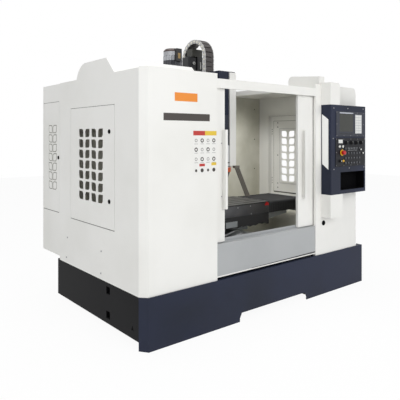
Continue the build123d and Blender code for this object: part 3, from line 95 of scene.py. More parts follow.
# %% [markdown]
# Colours are picked as sRGB hex values, the way a paint card gives them, and shaders work with linear
# light, so one function converts them. Another small function adds any node with its settings and
# links; given a whole node to link from, it takes the first output. Two more start a material and
# close it with its output, and a list keeps the names of what was made.

# %% Helpers for materials and node trees
finish_names = []


def srgb(code, alpha=1.0):
    values = [int(code[i:i + 2], 16) / 255 for i in (1, 3, 5)]
    return [v / 12.92 if v <= 0.04045 else ((v + 0.055) / 1.055) ** 2.4 for v in values] + [alpha]


def add(tree, kind, links=None, **settings):
    node = tree.nodes.new(kind)
    for key, value in settings.items():
        setattr(node, key, value)
    for socket, source in (links or {}).items():
        if isinstance(source, bpy.types.Node):
            source = source.outputs[0]
        if isinstance(source, bpy.types.NodeSocket):
            tree.links.new(source, node.inputs[socket])
        else:
            node.inputs[socket].default_value = source
    return node


def new_material(name):
    material = bpy.data.materials.new(name)
    material.use_nodes = True
    material.node_tree.nodes.clear()
    finish_names.append(name)
    return material, material.node_tree


def finish_material(material, tree, shader):
    add(tree, "ShaderNodeOutputMaterial", {"Surface": shader})
    return material


# %% [markdown]
# Most of the cabin is powder coat: paint dust baked onto sheet steel. Up close it has a fine orange
# peel, and over a large panel its tone drifts a little. A noise at the grain's size drives the bump,
# and a much larger noise moves the colour by a few percent.

# %% Powder coat on sheet steel
PEEL_DEPTH = 0.0006
DRIFT_FROM, DRIFT_TO = 0.35, 0.60


def powder_coat(name, colour, worn, roughness=0.42, grain_mm=2.5, bump=0.05, drift_mm=700, sheen=0.5):
    material, tree = new_material(name)
    where = add(tree, "ShaderNodeTexCoord").outputs["Object"]
    peel = add(tree, "ShaderNodeTexNoise", {"Vector": where, "Scale": 1000 / grain_mm, "Detail": 2.0})
    drift = add(tree, "ShaderNodeTexNoise", {"Vector": where, "Scale": 1000 / drift_mm, "Detail": 5.0})
    ramp = add(tree, "ShaderNodeValToRGB", {"Fac": drift})
    ramp.color_ramp.elements[0].position = DRIFT_FROM
    ramp.color_ramp.elements[0].color = srgb(worn)
    ramp.color_ramp.elements[1].position = DRIFT_TO
    ramp.color_ramp.elements[1].color = srgb(colour)
    relief = add(tree, "ShaderNodeBump", {
        "Height": peel, "Strength": bump, "Distance": PEEL_DEPTH})
    shader = add(tree, "ShaderNodeBsdfPrincipled", {
        "Base Color": ramp, "Roughness": roughness, "Specular IOR Level": sheen,
        "Normal": relief})
    return finish_material(material, tree, shader)


cream_coat = powder_coat("cream_powder_coat", "#E9E8E4", "#E2E1DC")
apron_coat = powder_coat("pale_grey_powder_coat", "#A9ABAC", "#A0A2A3")
navy_coat = powder_coat("navy_powder_coat", "#20263A", "#1B202E", roughness=0.52, sheen=0.25)
black_coat = powder_coat("charcoal_powder_coat", "#121214", "#0D0D0F", roughness=0.6, sheen=0.12)
inner_coat = powder_coat("oily_inner_paint", "#CBC9BC", "#B9B7A8", roughness=0.4, drift_mm=260)
print("powder coats:", len(finish_names))

# %% [markdown]
# Castings are brushed with thick machine enamel over a rough skin, so their relief is coarser.
# Ground guides, way covers and the table are bare metal. Grinding leaves fine lines in one direction:
# the same noise, stretched along that direction by a Mapping node, varies the roughness.

# %% Castings and bare metal
STAINS_PER_METRE, LINE_RELIEF, LINE_DEPTH = 9.0, 0.12, 0.0004
SMOOTHER, ROUGHER = 0.1, 0.16


def enamel_on_casting(name, colour, worn):
    return powder_coat(name, colour, worn, roughness=0.4, grain_mm=9, bump=0.25, drift_mm=180)


def ground_metal(name, colour, dull, along, roughness=0.32, line_mm=3.0):
    material, tree = new_material(name)
    where = add(tree, "ShaderNodeTexCoord").outputs["Object"]
    squeeze = [1.0 if axis == along else 1000 / line_mm for axis in "XYZ"]
    lines = add(tree, "ShaderNodeMapping", {"Vector": where, "Scale": squeeze})
    grain = add(tree, "ShaderNodeTexNoise", {"Vector": lines, "Scale": 1.0, "Detail": 3.0})
    stain = add(tree, "ShaderNodeTexNoise", {"Vector": where, "Scale": STAINS_PER_METRE, "Detail": 6.0})
    tint = add(tree, "ShaderNodeMix", {"Factor": stain, "A": srgb(colour), "B": srgb(dull)},
               data_type="RGBA")
    gloss = add(tree, "ShaderNodeMapRange", {
        "Value": grain, "To Min": roughness - SMOOTHER, "To Max": roughness + ROUGHER})
    relief = add(tree, "ShaderNodeBump", {
        "Height": grain, "Strength": LINE_RELIEF, "Distance": LINE_DEPTH})
    shader = add(tree, "ShaderNodeBsdfPrincipled", {
        "Base Color": tint.outputs["Result"], "Metallic": 1.0, "Roughness": gloss,
        "Normal": relief})
    return finish_material(material, tree, shader)


grey_casting = enamel_on_casting("grey_enamel_on_cast_iron", "#8B8F90", "#7E8283")
navy_casting = enamel_on_casting("navy_enamel_on_cast_iron", "#262C3C", "#1D212D")
ground_rail = ground_metal("ground_guide_steel", "#C9CACB", "#A9AAAC", "Y")
scraped_table = ground_metal("scraped_cast_iron", "#6E6E70", "#4C4C4F", "X", roughness=0.38, line_mm=5)
cover_steel = ground_metal("brushed_stainless_sheet", "#C4C5C6", "#9C9D9E", "Y", roughness=0.3, line_mm=4)
hardened_steel = ground_metal("hardened_spindle_steel", "#D4D4D6", "#B4B4B8", "Z", roughness=0.2)
print("finishes so far:", len(finish_names))

# %% [markdown]
# Moulded plastics are one colour all through, with a soft sheen. The noise here only stands for the
# faint flow marks of moulding, so it is weak. Display glass is the same shader, darker and smoother.
# The panel's film and the pocket's painted shade reuse the powder coat, whose tone drifts over a wide face.

# %% Plastics, rubber and glass
FLOW_DEPTH = 0.0004
HAZE_PER_METRE, CLEAREST, HAZIEST, GLASS_IOR = 4.0, 0.02, 0.08, 1.5


def moulded(name, colour, roughness=0.45, bump=0.04, grain_mm=1.5):
    material, tree = new_material(name)
    where = add(tree, "ShaderNodeTexCoord").outputs["Object"]
    grain = add(tree, "ShaderNodeTexNoise", {"Vector": where, "Scale": 1000 / grain_mm, "Detail": 2.0})
    relief = add(tree, "ShaderNodeBump", {
        "Height": grain, "Strength": bump, "Distance": FLOW_DEPTH})
    shader = add(tree, "ShaderNodeBsdfPrincipled", {
        "Base Color": srgb(colour), "Roughness": roughness, "Normal": relief})
    return finish_material(material, tree, shader)


def laminated_pane(name, colour):
    material, tree = new_material(name)
    where = add(tree, "ShaderNodeTexCoord").outputs["Object"]
    haze = add(tree, "ShaderNodeTexNoise", {"Vector": where, "Scale": HAZE_PER_METRE, "Detail": 3.0})
    gloss = add(tree, "ShaderNodeMapRange", {
        "Value": haze, "To Min": CLEAREST, "To Max": HAZIEST})
    shader = add(tree, "ShaderNodeBsdfPrincipled", {
        "Base Color": srgb(colour), "Roughness": gloss, "Transmission Weight": 1.0,
        "IOR": GLASS_IOR})
    return finish_material(material, tree, shader)


chain_nylon = moulded("grey_nylon_links", "#C6C5C3", roughness=0.5)
slat_nylon = moulded("dark_nylon_slats", "#3A3534", roughness=0.5)
dot_nylon = moulded("cream_nylon_pins", "#F6F0DA", roughness=0.45)
key_laminate = moulded("dark_key_laminate", "#24262C", roughness=0.5)
plate_laminate = moulded("pale_grey_key_plate", "#B4B6B9", roughness=0.4)
panel_laminate = moulded("slate_panel_laminate", "#232733", roughness=0.5)
fascia_laminate = powder_coat("black_fascia_film", "#1B1C21", "#17181C", roughness=0.5, sheen=0.25)
white_laminate = moulded("white_key_laminate", "#DADAD6", roughness=0.4)
screen_glass = moulded("display_glass", "#22251F", roughness=0.14, bump=0.0)
# Painted highlight for the display's top edge.
display_highlight = moulded("painted_display_highlight", "#B9BCC4", roughness=0.3, bump=0.0)
black_abs = moulded("black_abs", "#161618", roughness=0.4)
red_abs = moulded("red_abs", "#B3161A", roughness=0.3)
yellow_abs = moulded("yellow_abs", "#D9A514", roughness=0.35)
white_abs = moulded("white_abs", "#DEDED8", roughness=0.35)
bellows_fabric = moulded("coated_bellows_fabric", "#141416", roughness=0.62, bump=0.2, grain_mm=1.2)
pipe_nylon = moulded("grey_segment_pipe", "#6A655D", roughness=0.42)
motor_enamel = moulded("black_motor_enamel", "#1B1C1F", roughness=0.42, bump=0.15, grain_mm=3)
drive_abs = moulded("dark_drive_housing", "#2C2E31", roughness=0.5)
olive_enamel = moulded("olive_terminal_box_enamel", "#2E2E27", roughness=0.45, bump=0.1, grain_mm=3)
# Painted shade for the inside of the station's pocket.
pocket_shade = powder_coat("painted_pocket_shade", "#0A0A0C", "#070708", roughness=0.8, sheen=0.05)
tan_plate = moulded("tan_insulating_plate", "#8F7648", roughness=0.45)
# Painted shadow for the door seams and under the right door's foot fold.
seam_shade = moulded("painted_seam_shade", "#3A3936", roughness=0.6)
inlay_film = moulded("white_inlay_film", "#F5F5F2", roughness=0.4)
# Painted shade for folds and pressed rims.
fold_shade = moulded("painted_fold_shade", "#85847A", roughness=0.6)
pane_glass = laminated_pane("laminated_pane", "#DCE6E2")
print("finishes so far:", len(finish_names))

# %% [markdown]
# Two parts wear more than one colour up their height. The spindle cartridge is one turned unit: grey
# enamel above, an orange band and a black nose; its two narrow dark bands are painted shade in its
# grooves. The changer's motor has a brown rim; under it, on the fins, a bright band above and a dark
# band below paint the light falling from above. Height decides the colour, so a stepped colour ramp on
# the Z coordinate paints both, and a fine noise keeps the enamel from looking like flat plastic.

# %% Colour in bands of height, with painted light and shade
SKIN_PER_METRE, SKIN_RELIEF, SKIN_DEPTH = 300.0, 0.08, 0.0005


def height_bands(name, low, high, bands, metallic, roughness):
    material, tree = new_material(name)
    where = add(tree, "ShaderNodeTexCoord").outputs["Object"]
    height = add(tree, "ShaderNodeSeparateXYZ", {"Vector": where}).outputs["Z"]
    scaled = add(tree, "ShaderNodeMapRange", {"Value": height, "From Min": low, "From Max": high})
    ramp = add(tree, "ShaderNodeValToRGB", {"Fac": scaled})
    ramp.color_ramp.interpolation = "CONSTANT"
    stops = ramp.color_ramp.elements
    stops[0].color = srgb(bands[0][1])
    stops[1].position = (bands[1][0] - low) / (high - low)
    stops[1].color = srgb(bands[1][1])
    for level, code in bands[2:]:
        stops.new((level - low) / (high - low)).color = srgb(code)
    skin = add(tree, "ShaderNodeTexNoise", {"Vector": where, "Scale": SKIN_PER_METRE, "Detail": 2.0})
    relief = add(tree, "ShaderNodeBump", {
        "Height": skin, "Strength": SKIN_RELIEF, "Distance": SKIN_DEPTH})
    shader = add(tree, "ShaderNodeBsdfPrincipled", {
        "Base Color": ramp, "Roughness": roughness, "Metallic": metallic,
        "Normal": relief})
    return finish_material(material, tree, shader)


# The two narrow dark bands here are painted shade in the cartridge's grooves.
cartridge_bands = height_bands("cartridge_enamel_and_groove_shade", 1.05, 1.45, [
    (1.050, "#18181A"), (1.148, "#C2562B"), (1.191, "#C9CACA"), (1.1955, "#1B1B1D"), (1.2045, "#C9CACA"),
    (1.2305, "#1B1B1D"), (1.2395, "#C9CACA")], 0.0, 0.34)
# The bright and dark fin bands paint light from above; the brown rim is the motor's colour.
fin_light_bands = height_bands("fins_with_painted_light", 1.90, 2.34, [
    (1.90, "#33343A"), (2.215, "#9FA1A5"), (2.300, "#3A2A26")], 0.2, 0.4)
print("banded finishes:", cartridge_bands.name, fin_light_bands.name)

# %% [markdown]
# Every CAD node keeps its shape and only swaps its finish. A table says which node wears which.

# %% Finishes for the CAD nodes
finishes = {
    cream_coat: ["front_panel_left", "front_panel_right", "door_header", "wall_left", "wall_right",
                 "roof_sheets", "roof_hoods", "duct_covers", "cabinet_shell", "head_cover", "door_left",
                 "door_right", "side_door_left", "side_door_right", "cabinet_door"],
    apron_coat: ["front_apron"],
    navy_coat: ["front_skirt", "operator_box", "motor_cover"],
    black_coat: ["base_side_covers", "coolant_tank"],
    inner_coat: ["rear_walls", "chip_pan"],
    grey_casting: ["bed_casting", "column_casting", "saddle_casting", "changer_box"],
    navy_casting: ["head_casting"],
    ground_rail: ["guide_rails", "x_rails", "magazine_disc", "levelling_feet"],
    scraped_table: ["work_table"],
    cover_steel: ["way_cover_front", "way_cover_1", "way_cover_2", "way_cover_3", "way_cover_saddle"],
    hardened_steel: ["spindle_nose"],
    cartridge_bands: ["spindle_cartridge"],
    pipe_nylon: ["wash_pipes"],
    motor_enamel: ["z_drive"],
    fin_light_bands: ["changer_motor"],
    chain_nylon: ["cable_chain"],
    bellows_fabric: ["x_bellows"],
    pane_glass: ["door_left_window", "door_right_window"],
    panel_laminate: ["display_unit"],
    fascia_laminate: ["operator_fascia"],
    screen_glass: ["display_screen"],
    black_abs: ["override_knob_1", "override_knob_2", "override_knob_3", "override_knob_4", "mode_selector"],
    red_abs: ["emergency_stop"],
    white_abs: ["button_white", "button_lit"],
    yellow_abs: ["button_yellow"],
    drive_abs: ["drive_modules"],
}
dressed = set()
for material, names in finishes.items():
    for name in names:
        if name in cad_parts:
            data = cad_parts[name].data
            data.materials.clear()
            data.materials.append(material)
            dressed.add(name)
print("nodes dressed:", len(dressed), "left over:", sorted(set(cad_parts) - dressed))

# %% [markdown]
# Pieces made here are plain meshes at the origin, with their place in their vertices. These helpers
# make a mesh object from points and faces, and turn the result of a Geometry Nodes tree into one.

# %% Mesh helpers
def mesh_object(name, points, faces, *materials):
    data = bpy.data.meshes.new(name)
    data.from_pydata([tuple(p) for p in points], [], faces)
    data.validate()
    for material in materials:
        data.materials.append(material)
    piece = bpy.data.objects.new(name, data)
    bpy.context.scene.collection.objects.link(piece)
    return piece


def baked(piece, name):
    bpy.context.view_layer.update()
    graph = bpy.context.evaluated_depsgraph_get()
    data = bpy.data.meshes.new_from_object(piece.evaluated_get(graph))
    bpy.data.objects.remove(piece)
    result = bpy.data.objects.new(name, data)
    bpy.context.scene.collection.objects.link(result)
    return result


def new_tree(name, **inputs):
    tree = bpy.data.node_groups.new(name, "GeometryNodeTree")
    tree.interface.new_socket("Geometry", in_out="INPUT", socket_type="NodeSocketGeometry")
    for label, value in inputs.items():
        kind = "NodeSocketVector" if isinstance(value, tuple) else "NodeSocketFloat"
        kind = "NodeSocketInt" if isinstance(value, int) else kind
        socket = tree.interface.new_socket(label, in_out="INPUT", socket_type=kind)
        socket.default_value = value
    tree.interface.new_socket("Geometry", in_out="OUTPUT", socket_type="NodeSocketGeometry")
    return tree, add(tree, "NodeGroupInput")


def with_tree(piece, tree, **values):
    modifier = piece.modifiers.new(tree.name, "NODES")
    modifier.node_group = tree
    for item in tree.interface.items_tree:
        if item.in_out == "INPUT" and item.name in values:
            modifier[item.identifier] = values[item.name]
    return piece


# %% [markdown]
# Screws, quarter-turn locks and round plugs are the same thing at three sizes: a disc with a bevelled
# edge and a sunken socket. A tree takes a cloud of points, stands one head on each, turned by a given
# rotation, and ends by making the instances real and giving them their material.

# %% A tree that puts heads on points
HEAD_SIDES, CROWN_RISE, CROWN_SHARE, SOCKET_DEPTH = 18, 0.0006, 0.88, 0.7


def heads_tree(name, material):
    tree, start = new_tree(name, Radius=0.006, Height=0.003, Socket=0.45, Turn=(0.0, 0.0, 0.0))
    disc = add(tree, "GeometryNodeMeshCylinder", {
        "Vertices": HEAD_SIDES, "Radius": start.outputs["Radius"], "Depth": start.outputs["Height"]})
    crown = add(tree, "GeometryNodeExtrudeMesh", {
        "Mesh": disc, "Selection": disc.outputs["Top"], "Offset Scale": CROWN_RISE},
        mode="FACES")
    eased = add(tree, "GeometryNodeScaleElements", {
        "Geometry": crown, "Selection": crown.outputs["Top"], "Scale": CROWN_SHARE},
        domain="FACE")
    rim = add(tree, "GeometryNodeExtrudeMesh", {
        "Mesh": eased, "Selection": crown.outputs["Top"], "Offset Scale": 0.0}, mode="FACES")
    socket = add(tree, "GeometryNodeScaleElements", {
        "Geometry": rim, "Selection": rim.outputs["Top"],
        "Scale": start.outputs["Socket"]}, domain="FACE")
    depth = add(tree, "ShaderNodeMath", {0: start.outputs["Height"], 1: -SOCKET_DEPTH},
                operation="MULTIPLY")
    sunk = add(tree, "GeometryNodeExtrudeMesh", {
        "Mesh": socket, "Selection": rim.outputs["Top"], "Offset Scale": depth},
        mode="FACES")
    spread = add(tree, "GeometryNodeInstanceOnPoints", {
        "Points": start.outputs["Geometry"], "Instance": sunk,
        "Rotation": start.outputs["Turn"]})
    real = add(tree, "GeometryNodeRealizeInstances", {"Geometry": spread})
    paint = add(tree, "GeometryNodeSetMaterial", {"Geometry": real, "Material": material})
    add(tree, "NodeGroupOutput", {"Geometry": paint})
    return tree


TO_FRONT = (radians(90), 0.0, 0.0)
TO_LEFT = (0.0, radians(-90), 0.0)
TO_RIGHT = (0.0, radians(90), 0.0)
zinc_screw = ground_metal("zinc_plated_screw", "#B8B8BA", "#8C8C90", "Z", roughness=0.35)
screw_heads = heads_tree("screw_heads", zinc_screw)
lock_enamel = powder_coat("black_lock_enamel", "#08080A", "#060607", roughness=0.7, sheen=0.05)
black_heads = heads_tree("black_plugs", lock_enamel)


def heads(name, tree, body, points, turn, radius, height, socket=0.45):
    cloud = mesh_object(name + "_points", [at(*p) for p in points], [])
    with_tree(cloud, tree, Radius=radius / 1000, Height=height / 1000, Socket=socket, Turn=turn)
    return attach(baked(cloud, name), body)


# %% [markdown]
# The left wall carries four screws low down and two quarter-turn locks on its service door; the right
# wall has the same on its own side. The cabinet door has one lock, and a larger round plug sits low on
# the right front panel. Sizes and places are in drawing millimetres.

# %% Screws and locks on the walls
WALL_SCREWS, WALL_LOCK_HEIGHTS = [(1222, 598), (603, 591), (1243, 421), (608, 419)], (1519, 989)
LOCK_Y, LOCK_SIZE, NARROW_SOCKET = 475, (17, 4), 0.3
WALL_SIDES = {"left": (LEFT, -1, TO_LEFT), "right": (RIGHT, 1, TO_RIGHT)}
for side, (wall, out, turn) in WALL_SIDES.items():
    heads(f"{side}_wall_screws", screw_heads, "machine", [(wall + out, y, z) for y, z in WALL_SCREWS],
          turn, 7, 3)
for side, (wall, out, turn) in WALL_SIDES.items():
    heads(f"{side}_service_locks", black_heads, f"{side}_service_door",
          [(wall + 2 * out, LOCK_Y, z) for z in WALL_LOCK_HEIGHTS], turn, *LOCK_SIZE, NARROW_SOCKET)
heads("cabinet_lock", black_heads, "cabinet_access_door", [(LEFT - 2, 1416, 1290)], TO_LEFT, 16, 4,
      NARROW_SOCKET)
heads("panel_plug", black_heads, "machine", [(692, 8.5, 664)], TO_FRONT, 24, 3, NARROW_SOCKET)
print("wall screws:", 2 * len(WALL_SCREWS), "service locks:", 2 * len(WALL_LOCK_HEIGHTS))

# %% [markdown]
# Small screws hold the two control panels. Larger ones hold the face of the operator station, and two
# hold each door handle.

# %% Screws on the controls and handles
def round_frame(x0, x1, z0, z1, y, across, up):
    xs = [x0 + (x1 - x0) * i / (across - 1) for i in range(across)]
    zs = [z0 + (z1 - z0) * i / (up - 1) for i in range(up)]
    return [(x, y, z) for x in xs for z in (z0, z1)] + [(x, y, z) for x in (x0, x1) for z in zs[1:-1]]


PANEL_FACE_Y, HANDLE_FACE_Y = -106.6, 39
panel_marks = round_frame(733, 1197, 1208, 1455, PANEL_FACE_Y, 5, 3)
panel_marks += round_frame(740, 1184, 1488, 1709, PANEL_FACE_Y, 5, 3)
heads("panel_screws", screw_heads, "machine", panel_marks, TO_FRONT, 3.4, 1.4)
station_front = drawn_box("operator_box")[1][0]
station_marks = [(924, 1748), (1186, 1752), (700, 1745), (689, 1462), (1216, 1461), (700, 1175),
                 (946, 1178), (1200, 1178)]
heads("station_screws", screw_heads, "machine", [(x, station_front - 1, z) for x, z in station_marks],
      TO_FRONT, 6, 2)
for side, x, heights in (("left", -575, (1428, 1011)), ("right", 437, (1436, 1022))):
    heads(f"{side}_handle_screws", screw_heads, f"{side}_door",
          [(x, HANDLE_FACE_Y, z) for z in heights], TO_FRONT, 5, 2.5)
print("panel screws:", len(panel_marks), "station screws:", len(station_marks))

# %% [markdown]
# The cable chain guides the head's cables. It is a row of plastic links, hinged at every pitch: two
# side plates with a round lobe and a pale pin, and slats across the top and bottom. First comes its
# path, a curve from the column's top, over an arch, to the head.

# %% Path of the cable chain
(chain_x0, chain_x1), (chain_y0, chain_y1), (chain_foot, chain_top) = drawn_box("cable_chain")
CHAIN_HIGH, LINK_PITCH = 42.0, 45.0
CHAIN_X, CHAIN_WIDE = (chain_x0 + chain_x1) / 2, chain_x1 - chain_x0
CHAIN_REAR_Y, CHAIN_FRONT_Y = chain_y1 - CHAIN_HIGH / 2, chain_y0 + CHAIN_HIGH / 2
ARCH_Z = chain_top - (chain_y1 - chain_y0) / 2
CHAIN_FOOT_REAR, CHAIN_FOOT_FRONT = chain_foot, drawn_box("motor_cover")[2][1]
chain_run = 2 * ARCH_Z - CHAIN_FOOT_REAR - CHAIN_FOOT_FRONT + pi * (CHAIN_REAR_Y - CHAIN_FRONT_Y) / 2
LINKS = round(chain_run / LINK_PITCH)
ARCH_STEPS = 24


def chain_path():
    radius = (CHAIN_REAR_Y - CHAIN_FRONT_Y) / 2
    middle = (CHAIN_REAR_Y + CHAIN_FRONT_Y) / 2
    points = [(CHAIN_REAR_Y, CHAIN_FOOT_REAR)]
    turns = [pi * i / ARCH_STEPS for i in range(ARCH_STEPS + 1)]
    points += [(middle + radius * cos(a), ARCH_Z + radius * sin(a)) for a in turns]
    points += [(CHAIN_FRONT_Y, CHAIN_FOOT_FRONT)]
    data = bpy.data.curves.new("chain_path", "CURVE")
    data.dimensions = "3D"
    spline = data.splines.new("POLY")
    spline.points.add(len(points) - 1)
    for point, (y, z) in zip(spline.points, points):
        point.co = (*at(CHAIN_X, y, z), 1.0)
    path = bpy.data.objects.new("chain_path", data)
    bpy.context.scene.collection.objects.link(path)
    return path


print("chain run, drawing mm:", round(chain_run), "links:", LINKS)

# %% [markdown]
# One link is built about the origin, in metres, from two plates with their lobes and pins, and two
# slats. Each part is marked with the number of its tone. The tree puts a link at each pitch of the
# path, turns it to the curve's tangent, and gives each tone its nylon at the end.

# %% Tree of the chain's links
PLATE_THICK, PLATE_REACH, WAIST_SHARE, LOBE_SIDES, LOBE_THICK = 0.006, 1.06, 0.86, 24, 0.0066
PIN_SIDES, PIN_RADIUS, PIN_LONG, PIN_PROUD = 14, 0.0085, 0.003, 0.0005
SLAT_THICK, SLAT_REACH, SLAT_MARGIN, SLAT_SET = 0.004, 0.93, 0.013, 0.004
PLATE_TONE, SLAT_TONE, PIN_TONE = 0, 1, 2
ACROSS = (0.0, pi / 2, 0.0)


def half_way_out(tree, whole, axis, side, further):
    offset = add(tree, "ShaderNodeMath", {0: whole, 1: 0.5 * side, 2: further * side},
                 operation="MULTIPLY_ADD")
    return add(tree, "ShaderNodeCombineXYZ", {axis: offset})


def side_plate(tree, start, side):
    plate_long = add(tree, "ShaderNodeMath", {0: start.outputs["Pitch"], 1: PLATE_REACH},
                     operation="MULTIPLY")
    waist = add(tree, "ShaderNodeMath", {0: start.outputs["Height"], 1: WAIST_SHARE}, operation="MULTIPLY")
    lobe = add(tree, "ShaderNodeMath", {0: start.outputs["Height"], 1: 0.5}, operation="MULTIPLY")
    plate = add(tree, "ShaderNodeCombineXYZ", {
        "X": PLATE_THICK, "Y": waist, "Z": plate_long})
    cube = add(tree, "GeometryNodeMeshCube", {"Size": plate})
    shift = half_way_out(tree, start.outputs["Width"], "X", side, -PLATE_THICK / 2)
    moved = add(tree, "GeometryNodeTransform", {
        "Geometry": cube, "Translation": shift})
    round_end = add(tree, "GeometryNodeMeshCylinder", {
        "Vertices": LOBE_SIDES, "Radius": lobe, "Depth": LOBE_THICK})
    seated = add(tree, "GeometryNodeTransform", {
        "Geometry": round_end, "Translation": shift, "Rotation": ACROSS})
    pin = add(tree, "GeometryNodeMeshCylinder", {
        "Vertices": PIN_SIDES, "Radius": PIN_RADIUS, "Depth": PIN_LONG})
    face = half_way_out(tree, start.outputs["Width"], "X", side, PIN_PROUD)
    turned = add(tree, "GeometryNodeTransform", {
        "Geometry": pin, "Translation": face, "Rotation": ACROSS})
    return [(moved, PLATE_TONE), (seated, PLATE_TONE), (turned, PIN_TONE)]


def cross_slat(tree, start, side):
    slat_long = add(tree, "ShaderNodeMath", {0: start.outputs["Pitch"], 1: SLAT_REACH}, operation="MULTIPLY")
    slat_wide = add(tree, "ShaderNodeMath", {0: start.outputs["Width"], 1: -SLAT_MARGIN}, operation="ADD")
    slat = add(tree, "ShaderNodeCombineXYZ", {
        "X": slat_wide, "Y": SLAT_THICK, "Z": slat_long})
    cube = add(tree, "GeometryNodeMeshCube", {"Size": slat})
    shift = half_way_out(tree, start.outputs["Height"], "Y", side, -SLAT_SET)
    moved = add(tree, "GeometryNodeTransform", {
        "Geometry": cube, "Translation": shift})
    return [(moved, SLAT_TONE)]


def chain_tree():
    tree, start = new_tree("cable_chain_links", Links=LINKS, Width=CHAIN_WIDE / 1000,
                           Height=CHAIN_HIGH / 1000, Pitch=LINK_PITCH / 1000)
    points = add(tree, "GeometryNodeCurveToPoints", {
        "Curve": start.outputs["Geometry"], "Count": start.outputs["Links"]}, mode="COUNT")
    parts = [part for side in (-1, 1) for part in side_plate(tree, start, side)]
    parts += [part for side in (-1, 1) for part in cross_slat(tree, start, side)]
    joined = add(tree, "GeometryNodeJoinGeometry")
    for part, tone in parts:
        mark = add(tree, "GeometryNodeStoreNamedAttribute", {
            "Geometry": part, "Name": "tone", "Value": tone},
            data_type="INT", domain="FACE")
        tree.links.new(mark.outputs["Geometry"], joined.inputs["Geometry"])
    turn = add(tree, "FunctionNodeAlignRotationToVector", {"Vector": points.outputs["Tangent"]},
               axis="Z", pivot_axis="X")
    spread = add(tree, "GeometryNodeInstanceOnPoints", {
        "Points": points.outputs["Points"], "Instance": joined,
        "Rotation": turn.outputs["Rotation"]})
    painted = add(tree, "GeometryNodeRealizeInstances", {"Geometry": spread})
    marks = add(tree, "GeometryNodeInputNamedAttribute", {"Name": "tone"}, data_type="INT")
    for tone, nylon in ((PLATE_TONE, chain_nylon), (SLAT_TONE, slat_nylon), (PIN_TONE, dot_nylon)):
        chosen = add(tree, "FunctionNodeCompare", {2: marks.outputs["Attribute"], 3: tone},
                     data_type="INT", operation="EQUAL")
        painted = add(tree, "GeometryNodeSetMaterial", {
            "Geometry": painted, "Material": nylon,
            "Selection": chosen.outputs["Result"]})
    add(tree, "NodeGroupOutput", {"Geometry": painted})
    return tree


# %% [markdown]
# The chain's rear end stays on the machine and its front end moves with the head. Here the links are
# laid once along the path and baked into one mesh, and the plain chain of the frame is hidden.

# %% Cable chain
chain = baked(with_tree(chain_path(), chain_tree(), Links=LINKS), "cable_chain_links")
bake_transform(chain)
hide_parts("cable_chain")
print("chain links:", LINKS, "faces:", len(chain.data.polygons))

# %% [markdown]
# The X bellows keep chips off the guides. Each is coated fabric folded into pleats and sewn to the
# table at one end and to the saddle's end plate at the other. Its cross-section is an upside-down
# trough, and every second ring of it is drawn inwards, which gives the zigzag. Real pleats are about
# 25 mm apart.

# %% Bellows
TABLE_Y, BELLOWS_HALF, BELLOWS_LOW, BELLOWS_HIGH = 694.0, 237.0, 734.0, 846.0
PLEAT_DEPTH, CREST_DIP, HOOD_CORNER, CORNER_STEPS = 10, 1.3, 18.0, 4
FABRIC_THICK, LEFT_PLEATS, RIGHT_PLEATS = 0.0012, 17, 20


def trough_ring(x, inset):
    half, high, corner = BELLOWS_HALF - inset, BELLOWS_HIGH - inset * CREST_DIP, HOOD_CORNER
    ring = [(x, TABLE_Y - half, BELLOWS_LOW)]
    for i in range(CORNER_STEPS + 1):
        a = pi / 2 * i / CORNER_STEPS
        ring.append((x, TABLE_Y - half + corner * (1 - cos(a)), high - corner * (1 - sin(a))))
    for i in range(CORNER_STEPS + 1):
        a = pi / 2 * (1 - i / CORNER_STEPS)
        ring.append((x, TABLE_Y + half - corner * (1 - cos(a)), high - corner * (1 - sin(a))))
    ring.append((x, TABLE_Y + half, BELLOWS_LOW))
    return ring


def pleated_hood(name, x0, x1, pleats):
    rings = 2 * pleats + 1
    points, faces = [], []
    for i in range(rings):
        inset = 0 if i % 2 else PLEAT_DEPTH
        points += [at(*p) for p in trough_ring(x0 + (x1 - x0) * i / (rings - 1), inset)]
    count = len(points) // rings
    for i in range(rings - 1):
        for k in range(count - 1):
            a = i * count + k
            faces.append((a, a + 1, a + count + 1, a + count))
    hood = mesh_object(name, points, faces, bellows_fabric)
    wall = hood.modifiers.new("fabric thickness", "SOLIDIFY")
    wall.thickness = FABRIC_THICK
    wall.offset = -1
    return baked(hood, name)


left_hood = pleated_hood("left_bellows", -1010.0, -588.5, LEFT_PLEATS)
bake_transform(left_hood)
right_hood = pleated_hood("right_bellows", 412.5, 916.0, RIGHT_PLEATS)
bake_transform(right_hood)
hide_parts("x_bellows")
print("bellows pleats:", LEFT_PLEATS + RIGHT_PLEATS)

# %% [markdown]
# Key fields are flat caps in rows and columns. A tree lays a grid of points on the panel's plane and
# puts a low block on each, so one row of the table makes the dark field and another the white keypad.
# Tiny pale marks are made the same way. Pitches and caps are in drawing millimetres.

